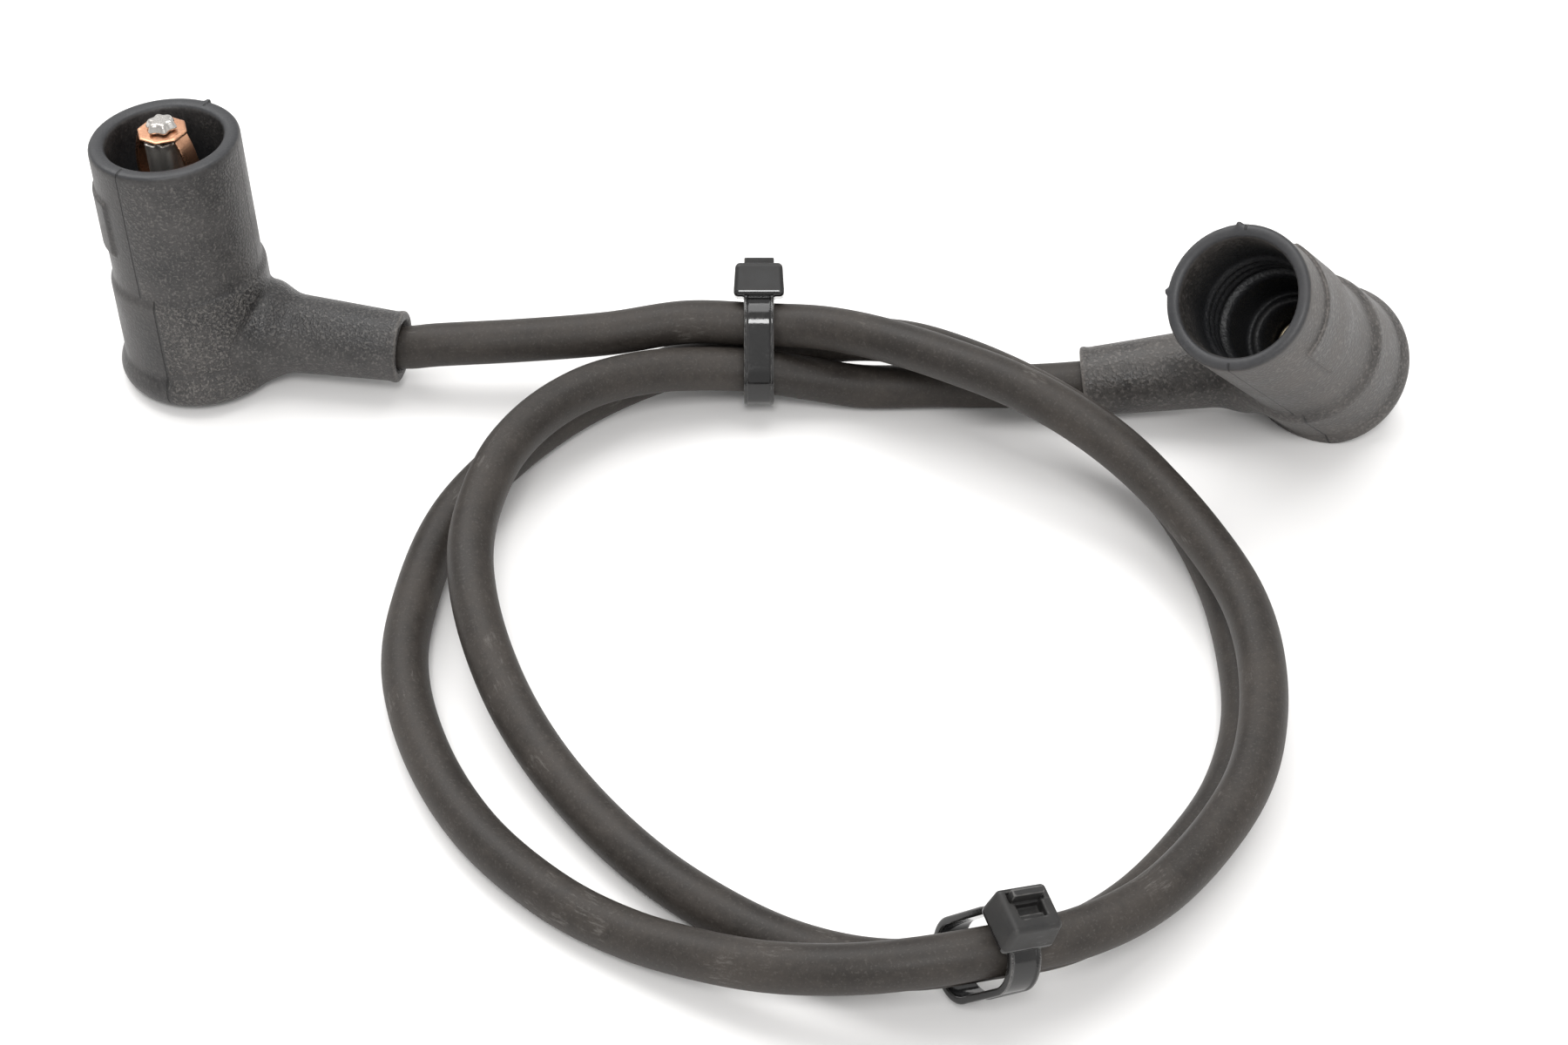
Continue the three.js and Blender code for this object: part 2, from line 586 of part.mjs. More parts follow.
// Round the two strands at the front, slack enough to hang askew on them.
function lowerTie() {
  const high = new THREE.Vector2(...LOWER_TIE_HIGH_STRAND);
  const low = new THREE.Vector2(...LOWER_TIE_LOW_STRAND);
  const spacing = high.distanceTo(low);
  const skewed = spacing / 2 / Math.cos(LOWER_TIE_SKEW) + (TIE_WIDTH / 2) * Math.tan(LOWER_TIE_SKEW);
  const reach = skewed + LOWER_TIE_CLEARANCE - LOWER_TIE_SLACK;
  const mesh = tie('lower_tie', [[reach, 0], [-reach, 0]], [reach, 0], LOWER_TIE_SLACK, LOWER_TIE_HEAD_ANGLE);
  const run = new THREE.Vector3(...LOWER_TIE_RUN).normalize();
  const stack = new THREE.Vector3(0, high.x - low.x, high.y - low.y);
  stack.addScaledVector(run, -stack.dot(run)).normalize();
  const [cos, sin] = [Math.cos(LOWER_TIE_SKEW), Math.sin(LOWER_TIE_SKEW)];
  const across = stack.clone().multiplyScalar(cos).addScaledVector(run, sin);
  const axis = run.clone().multiplyScalar(cos).addScaledVector(stack, -sin);
  const side = new THREE.Vector3().crossVectors(axis, across);
  mesh.quaternion.setFromRotationMatrix(new THREE.Matrix4().makeBasis(across, side, axis));
  mesh.position.set(LOWER_TIE_X, (high.x + low.x) / 2, (high.y + low.y) / 2);
  return mesh;
}

// The cable from inside one boot's crimp, along the route, and into the other's.
function cable() {
  const outOf = (boot, matrix) => {
    const distances = [boot.cableEnd, boot.sleeveLength * CABLE_POINT_IN_SLEEVE, boot.sleeveLength];
    return distances.map(distance => (
      new THREE.Vector3(0, 0, distance).applyMatrix4(sleeveMatrix(boot)).applyMatrix4(matrix)
    ));
  };
  const left = outOf(LEFT_BOOT, leftMatrix);
  const right = outOf(RIGHT_BOOT, rightMatrix).reverse();
  const route = CABLE_ROUTE.map(point => new THREE.Vector3(...point));
  const path = new THREE.CatmullRomCurve3([...left, ...route, ...right]);
  path.arcLengthDivisions = CABLE_ARC_DIVISIONS;
  const section = new THREE.Shape();
  section.absarc(0, 0, CABLE_RADIUS, 0, 2 * Math.PI, false);
  const round = new THREE.Shape(section.getPoints(CABLE_SIDES / 2));
  const tube = new THREE.ExtrudeGeometry(round, { steps: CABLE_STEPS, extrudePath: path });
  return pieceOf('cable', solid(tube), cable_rubber);
}

function placed(matrix, pieces) {
  const group = new THREE.Group();
  matrix.decompose(group.position, group.quaternion, group.scale);
  group.add(...pieces);
  return group;
}

const leftEnd = placed(leftMatrix, [
  leftBoot(),
  leftTerminal(),
  leftContactSpring(),
  leftRivet(),
  coreEnd('left_core_end', LEFT_BOOT),
]);
const rightEnd = placed(rightMatrix, [
  rightBoot(),
  rightTerminal(),
  rightRetainingClip(),
  coreEnd('right_core_end', RIGHT_BOOT),
]);

// The lead's origin is the middle of the box round its two boots.
const lead = new THREE.Group();
lead.add(leftEnd, rightEnd);
lead.updateMatrixWorld(true);
const ends = new THREE.Box3().setFromObject(lead, true);
lead.add(cable(), upperTie(), lowerTie());
lead.position.set(-(ends.min.x + ends.max.x) / 2, -(ends.min.y + ends.max.y) / 2, 0);

export default lead;
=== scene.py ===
"""The looks of an ignition lead: a cable laid in two turns, two boots, their terminals and two ties.

Everything is in metres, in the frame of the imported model: the lead lies on z = 0. Each boot is made in a
frame of its own, whose origin is the middle of its foot, whose +Z runs up the tube to the mouth, and whose
+X is the side that the cable sleeve leaves on.
"""

import logging
import math
from dataclasses import dataclass, field
from enum import Enum
from functools import reduce

import bpy
import numpy as np
from mathutils import Matrix, Vector


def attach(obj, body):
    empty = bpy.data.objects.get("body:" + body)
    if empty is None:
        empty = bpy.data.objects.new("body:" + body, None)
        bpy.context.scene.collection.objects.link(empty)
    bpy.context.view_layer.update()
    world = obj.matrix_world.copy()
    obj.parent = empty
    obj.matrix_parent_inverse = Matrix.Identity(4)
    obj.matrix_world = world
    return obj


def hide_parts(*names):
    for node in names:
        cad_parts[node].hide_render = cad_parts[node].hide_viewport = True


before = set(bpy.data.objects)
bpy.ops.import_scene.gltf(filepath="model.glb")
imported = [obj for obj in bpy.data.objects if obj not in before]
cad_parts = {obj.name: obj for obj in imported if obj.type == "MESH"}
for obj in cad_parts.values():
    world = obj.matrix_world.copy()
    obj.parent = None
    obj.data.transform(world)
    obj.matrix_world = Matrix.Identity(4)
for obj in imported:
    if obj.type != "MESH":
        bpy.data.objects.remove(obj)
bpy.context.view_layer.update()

log = logging.getLogger("ignition_lead")

Colour = tuple[float, float, float]
Point = tuple[float, float, float]

BODY = "root"

# From the layout that the route and the boots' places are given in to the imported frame
LAYOUT_SHIFT = Vector((0.004817, -0.024439, 0.0))

CABLE_RADIUS = 0.0035
TOUCH_GAP = 0.0003
SHEET = 0.0007


class Slot(Enum):
    """The record's material slots."""

    BOOT = "boot_rubber"
    CABLE = "cable_rubber"
    CORE = "core_fibre"
    TIE = "tie_nylon"
    STEEL = "steel"
    COPPER = "copper"
    BRASS = "brass"


def unit(vector: Point) -> np.ndarray:
    """Returns the vector with a length of one."""
    array = np.array(vector, float)
    return array / np.linalg.norm(array)


def smooth_min(first: np.ndarray, second: np.ndarray, blend: float) -> np.ndarray:
    """Joins two distances with a fillet.

    Args:
        first: Signed distances to one solid.
        second: Signed distances to the other.
        blend: How wide the fillet is, in metres.

    Returns:
        The signed distances to both together.
    """
    if blend <= 0:
        return np.minimum(first, second)
    near = np.maximum(blend - np.abs(first - second), 0) / blend
    return np.minimum(first, second) - near * near * blend / 4


def catmull_rom(points: np.ndarray, spacing: float) -> np.ndarray:
    """Draws the centripetal Catmull-Rom curve, the one that the cable's solid follows.

    Args:
        points: The points it goes through.
        spacing: About how far apart the points of the result are, in metres.

    Returns:
        Points along the curve.
    """
    ends = np.vstack([2 * points[0] - points[1], points, 2 * points[-1] - points[-2]])
    drawn = []
    for before, start, stop, after in zip(ends, ends[1:], ends[2:], ends[3:]):
        gaps = [np.linalg.norm(b - a) ** 0.5 for a, b in ((before, start), (start, stop), (stop, after))]
        into, through, onwards = (start - before) / gaps[0], (stop - start) / gaps[1], (after - stop) / gaps[2]
        leave = (into - (stop - before) / (gaps[0] + gaps[1]) + through) * gaps[1]
        reach = (through - (after - start) / (gaps[1] + gaps[2]) + onwards) * gaps[1]
        count = max(2, round(np.linalg.norm(stop - start) / spacing))
        for t in np.arange(count) / count:
            cubic = 2 * t**3 - 3 * t**2
            eased = start * (cubic + 1) - stop * cubic
            drawn.append(eased + leave * (t**3 - 2 * t**2 + t) + reach * (t**3 - t**2))
    drawn.append(points[-1])
    return np.array(drawn)


def mesh_piece(
    name: str, vertices: np.ndarray, faces: list, place: Matrix = Matrix.Identity(4)
) -> bpy.types.Object:
    """Makes a smooth-shaded mesh object, and keeps its own coordinates for its material as "local".

    Args:
        name: The piece's name.
        vertices: Its points in its own frame, one row each.
        faces: Its faces, as lists of point numbers.
        place: Where the piece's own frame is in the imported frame.

    Returns:
        The new object, linked to the scene.
    """
    turn = np.array(place)
    mesh = bpy.data.meshes.new(name)
    mesh.from_pydata((vertices @ turn[:3, :3].T + turn[:3, 3]).tolist(), [], faces)
    mesh.shade_smooth()
    mesh.update()
    piece = bpy.data.objects.new(name, mesh)
    bpy.context.scene.collection.objects.link(piece)
    store(piece, "local", vertices)
    return piece


def store(piece: bpy.types.Object, name: str, values: np.ndarray) -> None:
    """Keeps one value or one vector for each point, for the materials to read.

    Args:
        piece: The mesh object.
        name: What the materials call it.
        values: One row, or one number, for each point.
    """
    kind = "FLOAT" if values.ndim == 1 else "FLOAT_VECTOR"
    attribute = piece.data.attributes.new(name, kind, "POINT")
    attribute.data.foreach_set("value" if kind == "FLOAT" else "vector", values.astype(np.float32).ravel())


@dataclass
class DistanceField:
    """A solid as signed distances on a regular grid, negative inside it.

    Attributes:
        low: The grid's lowest corner.
        high: The grid's highest corner.
        step: The grid's spacing.
    """

    low: Point
    high: Point
    step: float
    points: np.ndarray = field(init=False)
    values: np.ndarray = field(init=False)

    def __post_init__(self) -> None:
        """Lays out the grid, empty."""
        axes = [np.arange(a, b + self.step, self.step) for a, b in zip(self.low, self.high)]
        self.points = np.stack(np.meshgrid(*axes, indexing="ij"), axis=-1)
        self.values = np.full(self.points.shape[:3], 1.0)

    def about(self, origin: Point, along: np.ndarray) -> tuple[np.ndarray, np.ndarray]:
        """Gives each grid point's distance from an axis, and its height along the axis."""
        offset = self.points - np.array(origin)
        height = offset @ along
        return np.sqrt(np.maximum((offset**2).sum(-1) - height**2, 0)), height

    def join(self, distances: np.ndarray, blend: float = 0.0) -> None:
        """Adds a solid, with a fillet of that width where they meet."""
        self.values = smooth_min(self.values, distances, blend)

    def cut(self, distances: np.ndarray, blend: float = 0.0) -> None:
        """Takes a solid away, and rounds the new edge by that width."""
        self.values = -smooth_min(-self.values, distances, blend)

    def surface(self) -> tuple[np.ndarray, list, np.ndarray]:
        """Skins the solid with four-sided faces.

        Returns:
            The points, the faces, and how sharply the surface bends at each point, in 1/m: above 0 on an
            outer edge and below 0 in a crease.
        """
        values = self.values
        inside = values < 0
        cells = tuple(n - 1 for n in values.shape)
        corners = [(i, j, k) for i in (0, 1) for j in (0, 1) for k in (0, 1)]
        at = {c: tuple(slice(o, o + n) for o, n in zip(c, cells)) for c in corners}
        filled = sum(inside[at[c]].astype(np.int8) for c in corners)
        mixed = (filled > 0) & (filled < 8)
        index = np.full(cells, -1)
        index[mixed] = np.arange(mixed.sum())
        base = np.argwhere(mixed)
        total = np.zeros((len(base), 3))
        crossings = np.zeros(len(base))
        for c in corners:
            for axis in range(3):
                if c[axis]:
                    continue
                d = tuple(o + (a == axis) for a, o in enumerate(c))
                first, second = values[at[c]][mixed], values[at[d]][mixed]
                crossed = (first < 0) != (second < 0)
                share = first[crossed] / (first[crossed] - second[crossed])
                spot = np.tile(np.array(c, float), (crossed.sum(), 1))
                spot[:, axis] += share
                total[crossed] += spot
                crossings[crossed] += 1
        vertices = (base + total / crossings[:, None]) * self.step + np.array(self.low)
        faces = []
        for axis in range(3):
            one, two = (a for a in range(3) if a != axis)
            inner = tuple(slice(None, -1) if a == axis else slice(1, -1) for a in range(3))
            beyond = tuple(slice(1, None) if a == axis else slice(1, -1) for a in range(3))
            change = inside[inner].astype(np.int8) - inside[beyond].astype(np.int8)
            for sign in (1, -1):
                edge = np.argwhere(change == sign) + [0 if a == axis else 1 for a in range(3)]
                around = []
                for shift_one, shift_two in ((0, 0), (1, 0), (1, 1), (0, 1)):
                    cell = edge.copy()
                    cell[:, one] -= shift_one
                    cell[:, two] -= shift_two
                    around.append(index[tuple(cell.T)])
                quad = np.stack(around, axis=1)
                outwards = (sign == 1) == (axis != 1)
                faces.append(quad if outwards else quad[:, ::-1])
        bend = np.zeros(values.shape)
        for axis in range(3):
            bend += np.gradient(np.gradient(values, self.step, axis=axis), self.step, axis=axis)
        return vertices, np.vstack(faces).tolist(), bend[tuple(base.T)]


def turned(radius: np.ndarray, height: np.ndarray, widths: dict[float, float], rounding: float) -> np.ndarray:
    """Measures the distance to a round solid with rounded ends.

    Args:
        radius: Each point's distance from the axis.
        height: Each point's height along the axis.
        widths: The solid's radius at some heights, lowest first. It ends at the first and the last.
        rounding: The radius that its two end edges are rounded to.

    Returns:
        Signed distances.
    """
    heights = list(widths)
    wall = radius - np.interp(height, heights, list(widths.values())) + rounding
    end = np.maximum(heights[0] - height, height - heights[-1]) + rounding
    return np.hypot(np.maximum(wall, 0), np.maximum(end, 0)) + np.minimum(np.maximum(wall, end), 0) - rounding


def rounded_block(points: np.ndarray, centre: Point, half: Point, rounding: float) -> np.ndarray:
    """Measures the distance to a block with rounded edges, given its centre and half sizes."""
    reach = np.abs(points - np.array(centre)) - np.array(half) + rounding
    outside = np.sqrt((np.maximum(reach, 0) ** 2).sum(-1))
    return outside + np.minimum(reach.max(-1), 0) - rounding


@dataclass
class Shader:
    """Adds nodes to one material or node group, and links them."""

    tree: bpy.types.NodeTree

    def add(self, kind: str, inputs: dict | None = None, **settings) -> bpy.types.Node:
        """Adds a node.

        Args:
            kind: Its type.
            inputs: What goes into its sockets, by name or number: a value, or another node's output.
            **settings: Its properties.

        Returns:
            The node.
        """
        node = self.tree.nodes.new(kind)
        for key, value in settings.items():
            setattr(node, key, value)
        for key, value in (inputs or {}).items():
            if isinstance(value, bpy.types.NodeSocket):
                self.tree.links.new(value, node.inputs[key])
            else:
                node.inputs[key].default_value = value
        return node

    def maths(self, operation: str, first: object, second: object = 0.0) -> bpy.types.NodeSocket:
        """Adds a sum of two numbers, kept between 0 and 1 only where the operation does that."""
        return self.add("ShaderNodeMath", {0: first, 1: second}, operation=operation).outputs[0]

    def times(self, first: object, second: object) -> bpy.types.NodeSocket:
        """Multiplies two numbers."""
        return self.maths("MULTIPLY", first, second)

    def plus(self, first: object, second: object) -> bpy.types.NodeSocket:
        """Adds two numbers."""
        return self.maths("ADD", first, second)

    def stored(self, name: str, output: str) -> bpy.types.NodeSocket:
        """Reads what the mesh keeps for each point under that name, as the node's named output."""
        return self.add("ShaderNodeAttribute", attribute_name=name).outputs[output]

    def link(self, value: bpy.types.NodeSocket, node: bpy.types.Node, socket: str) -> None:
        """Links a value to a node's named input."""
        self.tree.links.new(value, node.inputs[socket])

    def ramp(self, value: bpy.types.NodeSocket, low: float, high: float) -> bpy.types.NodeSocket:
        """Maps low to 0 and high to 1, smoothly, and holds it there outside."""
        inputs = {"Value": value, "From Min": low, "From Max": high}
        return self.add("ShaderNodeMapRange", inputs, interpolation_type="SMOOTHSTEP").outputs[0]

    def noise(self, vector: bpy.types.NodeSocket, scale: float, detail: float = 3, rough: float = 0.5):
        """Adds soft random values, with scale patches to a metre."""
        inputs = {"Vector": vector, "Scale": scale, "Detail": detail, "Roughness": rough}
        return self.add("ShaderNodeTexNoise", inputs).outputs[0]

    def blend(self, share: object, first: object, second: object) -> bpy.types.NodeSocket:
        """Blends two colours by a share."""
        node = self.add("ShaderNodeMix", data_type="RGBA")
        for socket, value in zip((node.inputs[0], node.inputs[6], node.inputs[7]), (share, first, second)):
            if isinstance(value, bpy.types.NodeSocket):
                self.tree.links.new(value, socket)
            else:
                socket.default_value = value
        return node.outputs[2]

    def between(self, share: bpy.types.NodeSocket, low: float, high: float) -> bpy.types.NodeSocket:
        """Turns a share into a number from low to high."""
        return self.add("ShaderNodeMapRange", {"Value": share, "To Min": low, "To Max": high}).outputs[0]


def rgba(colour: Colour) -> tuple[float, float, float, float]:
    """Returns the colour with full cover."""
    return (*colour, 1.0)


def effect(
    name: str, inputs: dict[str, str], outputs: list[str]
) -> tuple[Shader, bpy.types.Node, bpy.types.Node]:
    """Starts a shader node group.

    Args:
        name: The group's name.
        inputs: Its input sockets and their types.
        outputs: Its output sockets, each a number that changes over the surface.

    Returns:
        What adds nodes to it, its input node and its output node.
    """
    tree = bpy.data.node_groups.new(name, "ShaderNodeTree")
    for socket, kind in inputs.items():
        tree.interface.new_socket(socket, in_out="INPUT", socket_type=kind)
    for socket in outputs:
        tree.interface.new_socket(socket, in_out="OUTPUT", socket_type="NodeSocketFloat")
    shader = Shader(tree)
    return shader, shader.add("NodeGroupInput"), shader.add("NodeGroupOutput")


class Effects:
    """The shader node groups that several finishes share. Each is made once."""

    def __init__(self) -> None:
        """Makes the groups."""
        self.grain = self._grain()
        self.dust = self._dust()
        self.wear = self._wear()
        self.scuffs = self._scuffs()
        self.seam = self._seam()

    @staticmethod
    def _grain() -> bpy.types.NodeTree:
        """Moulded grain: small bumps, which get wider and taller where Coarse is 1 and fade where it is 0. Its
        second output marks pale flecks on the bumps' tips, painted glints.
        """
        inputs = {"Vector": "NodeSocketVector", "Scale": "NodeSocketFloat", "Coarse": "NodeSocketFloat"}
        shader, given, made = effect("moulded_grain", inputs, ["Height", "Painted Glint"])
        fine_scale = given.outputs["Scale"]
        wide_scale = shader.times(fine_scale, 0.8)
        fine = shader.noise(given.outputs["Vector"], fine_scale, 1.5)
        wide = shader.noise(given.outputs["Vector"], wide_scale, 3.0)
        bumps = shader.ramp(wide, 0.46, 0.7)
        amount = shader.between(given.outputs["Coarse"], 0.12, 1.0)
        tall = shader.ramp(given.outputs["Coarse"], 0.6, 1.0)
        low = shader.times(shader.ramp(fine, 0.3, 0.7), amount)
        high = shader.times(bumps, tall)
        height = shader.plus(low, shader.times(high, 1.4))
        # Painted highlight: pale flecks on the finer grain and on the tall bumps stand in for glints
        painted_glint = shader.times(shader.ramp(fine, 0.52, 0.7), amount)
        bright = shader.maths("MAXIMUM", painted_glint, shader.times(bumps, tall))
        shader.link(height, made, "Height")
        shader.link(bright, made, "Painted Glint")
        return shader.tree

    @staticmethod
    def _dust() -> bpy.types.NodeTree:
        """Dust: wide soft patches, broken up by finer ones. Cover moves from none at 0 to all over at 1."""
        inputs = {"Vector": "NodeSocketVector", "Scale": "NodeSocketFloat", "Cover": "NodeSocketFloat"}
        shader, given, made = effect("dust", inputs, ["Mask"])
        vector, scale = given.outputs["Vector"], given.outputs["Scale"]
        wide = shader.noise(vector, scale, 5.0, 0.6)
        fine_scale = shader.times(scale, 14.0)
        fine = shader.noise(vector, fine_scale, 4.0, 0.7)
        both = shader.plus(wide, shader.times(fine, 0.5))
        level = shader.plus(both, shader.between(given.outputs["Cover"], -0.45, 0.35))
        shader.link(shader.ramp(level, 0.45, 1.05), made, "Mask")
        return shader.tree

    @staticmethod
    def _wear() -> bpy.types.NodeTree:
        """Wear: where the surface bends outwards sharply, in broken patches. Bend is in 1/m."""
        inputs = {"Vector": "NodeSocketVector", "Bend": "NodeSocketFloat", "Sharp": "NodeSocketFloat"}
        shader, given, made = effect("edge_wear", inputs, ["Mask"])
        share = shader.maths("DIVIDE", given.outputs["Bend"], given.outputs["Sharp"])
        broken = shader.between(shader.noise(given.outputs["Vector"], 900.0, 4.0), -0.55, 0.35)
        level = shader.plus(share, broken)
        shader.link(shader.ramp(level, 0.3, 1.0), made, "Mask")
        return shader.tree

    @staticmethod
    def _scuffs() -> bpy.types.NodeTree:
        """Scuffs: short pale marks, drawn out along the vector's Z. Amount is none at 0 and many at 1."""
        inputs = {"Vector": "NodeSocketVector", "Scale": "NodeSocketFloat", "Amount": "NodeSocketFloat"}
        shader, given, made = effect("scuffs", inputs, ["Mask"])
        stretch = {0: given.outputs["Vector"], 1: (1.0, 1.0, 0.22)}
        drawn = shader.add("ShaderNodeVectorMath", stretch, operation="MULTIPLY").outputs[0]
        marks = shader.noise(drawn, given.outputs["Scale"], 6.0, 0.75)
        patch_scale = shader.times(given.outputs["Scale"], 0.08)
        patches = shader.noise(given.outputs["Vector"], patch_scale, 2.0)
        level = shader.times(marks, shader.ramp(patches, 0.42, 0.68))
        limit = shader.between(given.outputs["Amount"], 0.75, 0.25)
        mask = shader.ramp(shader.maths("SUBTRACT", level, limit), 0.0, 0.16)
        shader.link(mask, made, "Mask")
        return shader.tree

    @staticmethod
    def _seam() -> bpy.types.NodeTree:
        """A mould's parting line: the plane through +Z at an angle, past a radius, between two heights."""
        kinds = ["Angle", "Width", "Beyond", "Low", "High"]
        inputs = {"Vector": "NodeSocketVector", **{kind: "NodeSocketFloat" for kind in kinds}}
        shader, given, made = effect("parting_line", inputs, ["Mask"])
        back = shader.times(given.outputs["Angle"], -1.0)
        turn = {"Vector": given.outputs["Vector"], "Angle": back}
        local = shader.add("ShaderNodeVectorRotate", turn, rotation_type="Z_AXIS")
        parts = shader.add("ShaderNodeSeparateXYZ", {0: local.outputs[0]})
        away = shader.maths("ABSOLUTE", parts.outputs["Y"])
        line = shader.maths("SUBTRACT", 1.0, shader.maths("DIVIDE", away, given.outputs["Width"]))
        reach = shader.maths("ABSOLUTE", parts.outputs["X"])
        outside = shader.maths("GREATER_THAN", reach, given.outputs["Beyond"])
        above = shader.maths("GREATER_THAN", parts.outputs["Z"], given.outputs["Low"])
        below = shader.maths("LESS_THAN", parts.outputs["Z"], given.outputs["High"])
        kept = shader.times(outside, shader.times(above, below))
        mask = shader.times(shader.ramp(line, 0.0, 0.7), kept)
        shader.link(mask, made, "Mask")
        return shader.tree


def new_material(name: str) -> tuple[bpy.types.Material, Shader, bpy.types.Node]:
    """Starts a material.

    Args:
        name: Its name.

    Returns:
        The material, what adds nodes to it, and its Principled shader.
    """
    material = bpy.data.materials.new(name)
    material.use_nodes = True
    shader = Shader(material.node_tree)
    return material, shader, material.node_tree.nodes["Principled BSDF"]


def add_bump(shader: Shader, surface: bpy.types.Node, height: bpy.types.NodeSocket, distance: float) -> None:
    """Raises the surface by a height of 0 to 1 times the distance, in metres."""
    bump = shader.add("ShaderNodeBump", {"Height": height, "Distance": distance, "Strength": 1.0})
    shader.link(bump.outputs["Normal"], surface, "Normal")


@dataclass(frozen=True)
class Seam:
    """Where a boot's parting line shows.

    Attributes:
        angle: Its angle round the tube, in radians.
        low: Its lowest point.
        high: Its highest point.
        beyond: It shows only further from the axis than this.
    """

    angle: float
    low: float
    high: float
    beyond: float = 0.0101
    width: float = 0.00022


@dataclass(frozen=True)
class BootFinish:
    """Grained moulding rubber with dust in it, worn edges and the mould's parting lines, with painted glints
    on the grain, painted shade in its creases and painted shade deep in its mouth.
    """

    name: str
    dark: Colour
    pale: Colour
    # The pale colour of worn edges, also used for the painted glints on the grain
    worn: Colour
    dust_cover: float
    grain_scale: float
    grain_depth: float
    roughness: tuple[float, float]
    seams: tuple[Seam, ...]
    rim_from: float
    rim: Colour = (0.024, 0.025, 0.028)
    # Painted shade laid deep inside the mouth, where the hollow is shaded
    inside: Colour = (0.015, 0.0165, 0.019)

    def make(self, effects: Effects) -> bpy.types.Material:
        """Builds the material.

        Args:
            effects: The shared groups.

        Returns:
            The material.
        """
        material, shader, surface = new_material(self.name)
        place = shader.stored("local", "Vector")
        coarse = shader.stored("coarse", "Fac")
        bend = shader.stored("bend", "Fac")
        painted_hollow_shade = shader.stored("painted_hollow_shade", "Fac")
        grain = shader.add("ShaderNodeGroup", {"Vector": place, "Scale": self.grain_scale, "Coarse": coarse},
                           node_tree=effects.grain)
        dust = shader.add("ShaderNodeGroup", {"Vector": place, "Scale": 95.0, "Cover": self.dust_cover},
                          node_tree=effects.dust).outputs["Mask"]
        wear = shader.add("ShaderNodeGroup", {"Vector": place, "Bend": bend, "Sharp": 2400.0},
                          node_tree=effects.wear).outputs["Mask"]
        colour = shader.blend(dust, rgba(self.dark), rgba(self.pale))
        # Painted highlight: pale glint flecks on the grain's tips
        painted_glint = shader.times(grain.outputs["Painted Glint"], 0.5)
        colour = shader.blend(painted_glint, colour, rgba(self.worn))
        colour = shader.blend(shader.times(wear, 0.4), colour, rgba(self.worn))
        # Painted shade: darker where the surface bends inwards, in creases and fillets
        crease = shader.ramp(shader.times(bend, -1.0), 250.0, 1800.0)
        painted_crease_shade = rgba(tuple(0.35 * c for c in self.dark))
        colour = shader.blend(shader.times(crease, 0.45), colour, painted_crease_shade)
        height_on_boot = shader.add("ShaderNodeSeparateXYZ", {0: place}).outputs["Z"]
        rim = shader.ramp(height_on_boot, self.rim_from, self.rim_from + 0.0004)
        colour = shader.blend(shader.times(rim, 0.85), colour, rgba(self.rim))
        # Painted shade deep inside the mouth's hollow
        colour = shader.blend(shader.times(painted_hollow_shade, 0.85), colour, rgba(self.inside))
        masks = []
        for seam in self.seams:
            values = {"Vector": place, "Angle": seam.angle, "Width": seam.width, "Beyond": seam.beyond,
                      "Low": seam.low, "High": seam.high}
            masks.append(shader.add("ShaderNodeGroup", values, node_tree=effects.seam).outputs["Mask"])
        lines = reduce(lambda first, second: shader.maths("MAXIMUM", first, second), masks)
        shadow = rgba(tuple(0.3 * c for c in self.dark))
        colour = shader.blend(shader.times(lines, 0.7), colour, shadow)
        shader.link(colour, surface, "Base Color")
        shader.link(shader.between(dust, *self.roughness), surface, "Roughness")
        surface.inputs["Specular IOR Level"].default_value = 0.45
        height = shader.maths("SUBTRACT", grain.outputs["Height"], shader.times(lines, 2.5))
        add_bump(shader, surface, height, self.grain_depth)
        return material


@dataclass(frozen=True)
class CableFinish:
    """Drawn cable rubber: dust, pale scuffs along it and a faint drawn texture."""

    name: str = "cable_rubber"
    dark: Colour = (0.017, 0.0140, 0.0118)
    pale: Colour = (0.047, 0.0395, 0.0335)
    scuffed: Colour = (0.13, 0.12, 0.11)

    def make(self, effects: Effects) -> bpy.types.Material:
        """Builds the material.

        Args:
            effects: The shared groups.

        Returns:
            The material.
        """
        material, shader, surface = new_material(self.name)
        flow = shader.stored("flow", "Vector")
        dust = shader.add("ShaderNodeGroup", {"Vector": flow, "Scale": 60.0, "Cover": 0.5},
                          node_tree=effects.dust).outputs["Mask"]
        scuffs = shader.add("ShaderNodeGroup", {"Vector": flow, "Scale": 1500.0, "Amount": 0.5},
                            node_tree=effects.scuffs).outputs["Mask"]
        stretch = {0: flow, 1: (1.0, 1.0, 0.06)}
        drawn = shader.add("ShaderNodeVectorMath", stretch, operation="MULTIPLY").outputs[0]
        lines = shader.noise(drawn, 1500.0, 3.0)
        pores = shader.noise(flow, 2600.0, 2.0)
        colour = shader.blend(dust, rgba(self.dark), rgba(self.pale))
        colour = shader.blend(shader.times(scuffs, 0.5), colour, rgba(self.scuffed))
        pits = shader.times(shader.ramp(pores, 0.55, 0.72), 0.16)
        colour = shader.blend(pits, colour, rgba(self.scuffed))
        shader.link(colour, surface, "Base Color")
        shader.link(shader.between(dust, 0.46, 0.66), surface, "Roughness")
        surface.inputs["Specular IOR Level"].default_value = 0.34
        half_pores = shader.times(pores, 0.5)
        height = shader.plus(shader.times(lines, 0.5), half_pores)
        height = shader.plus(height, shader.times(scuffs, 0.4))
        add_bump(shader, surface, height, 0.00004)
        return material


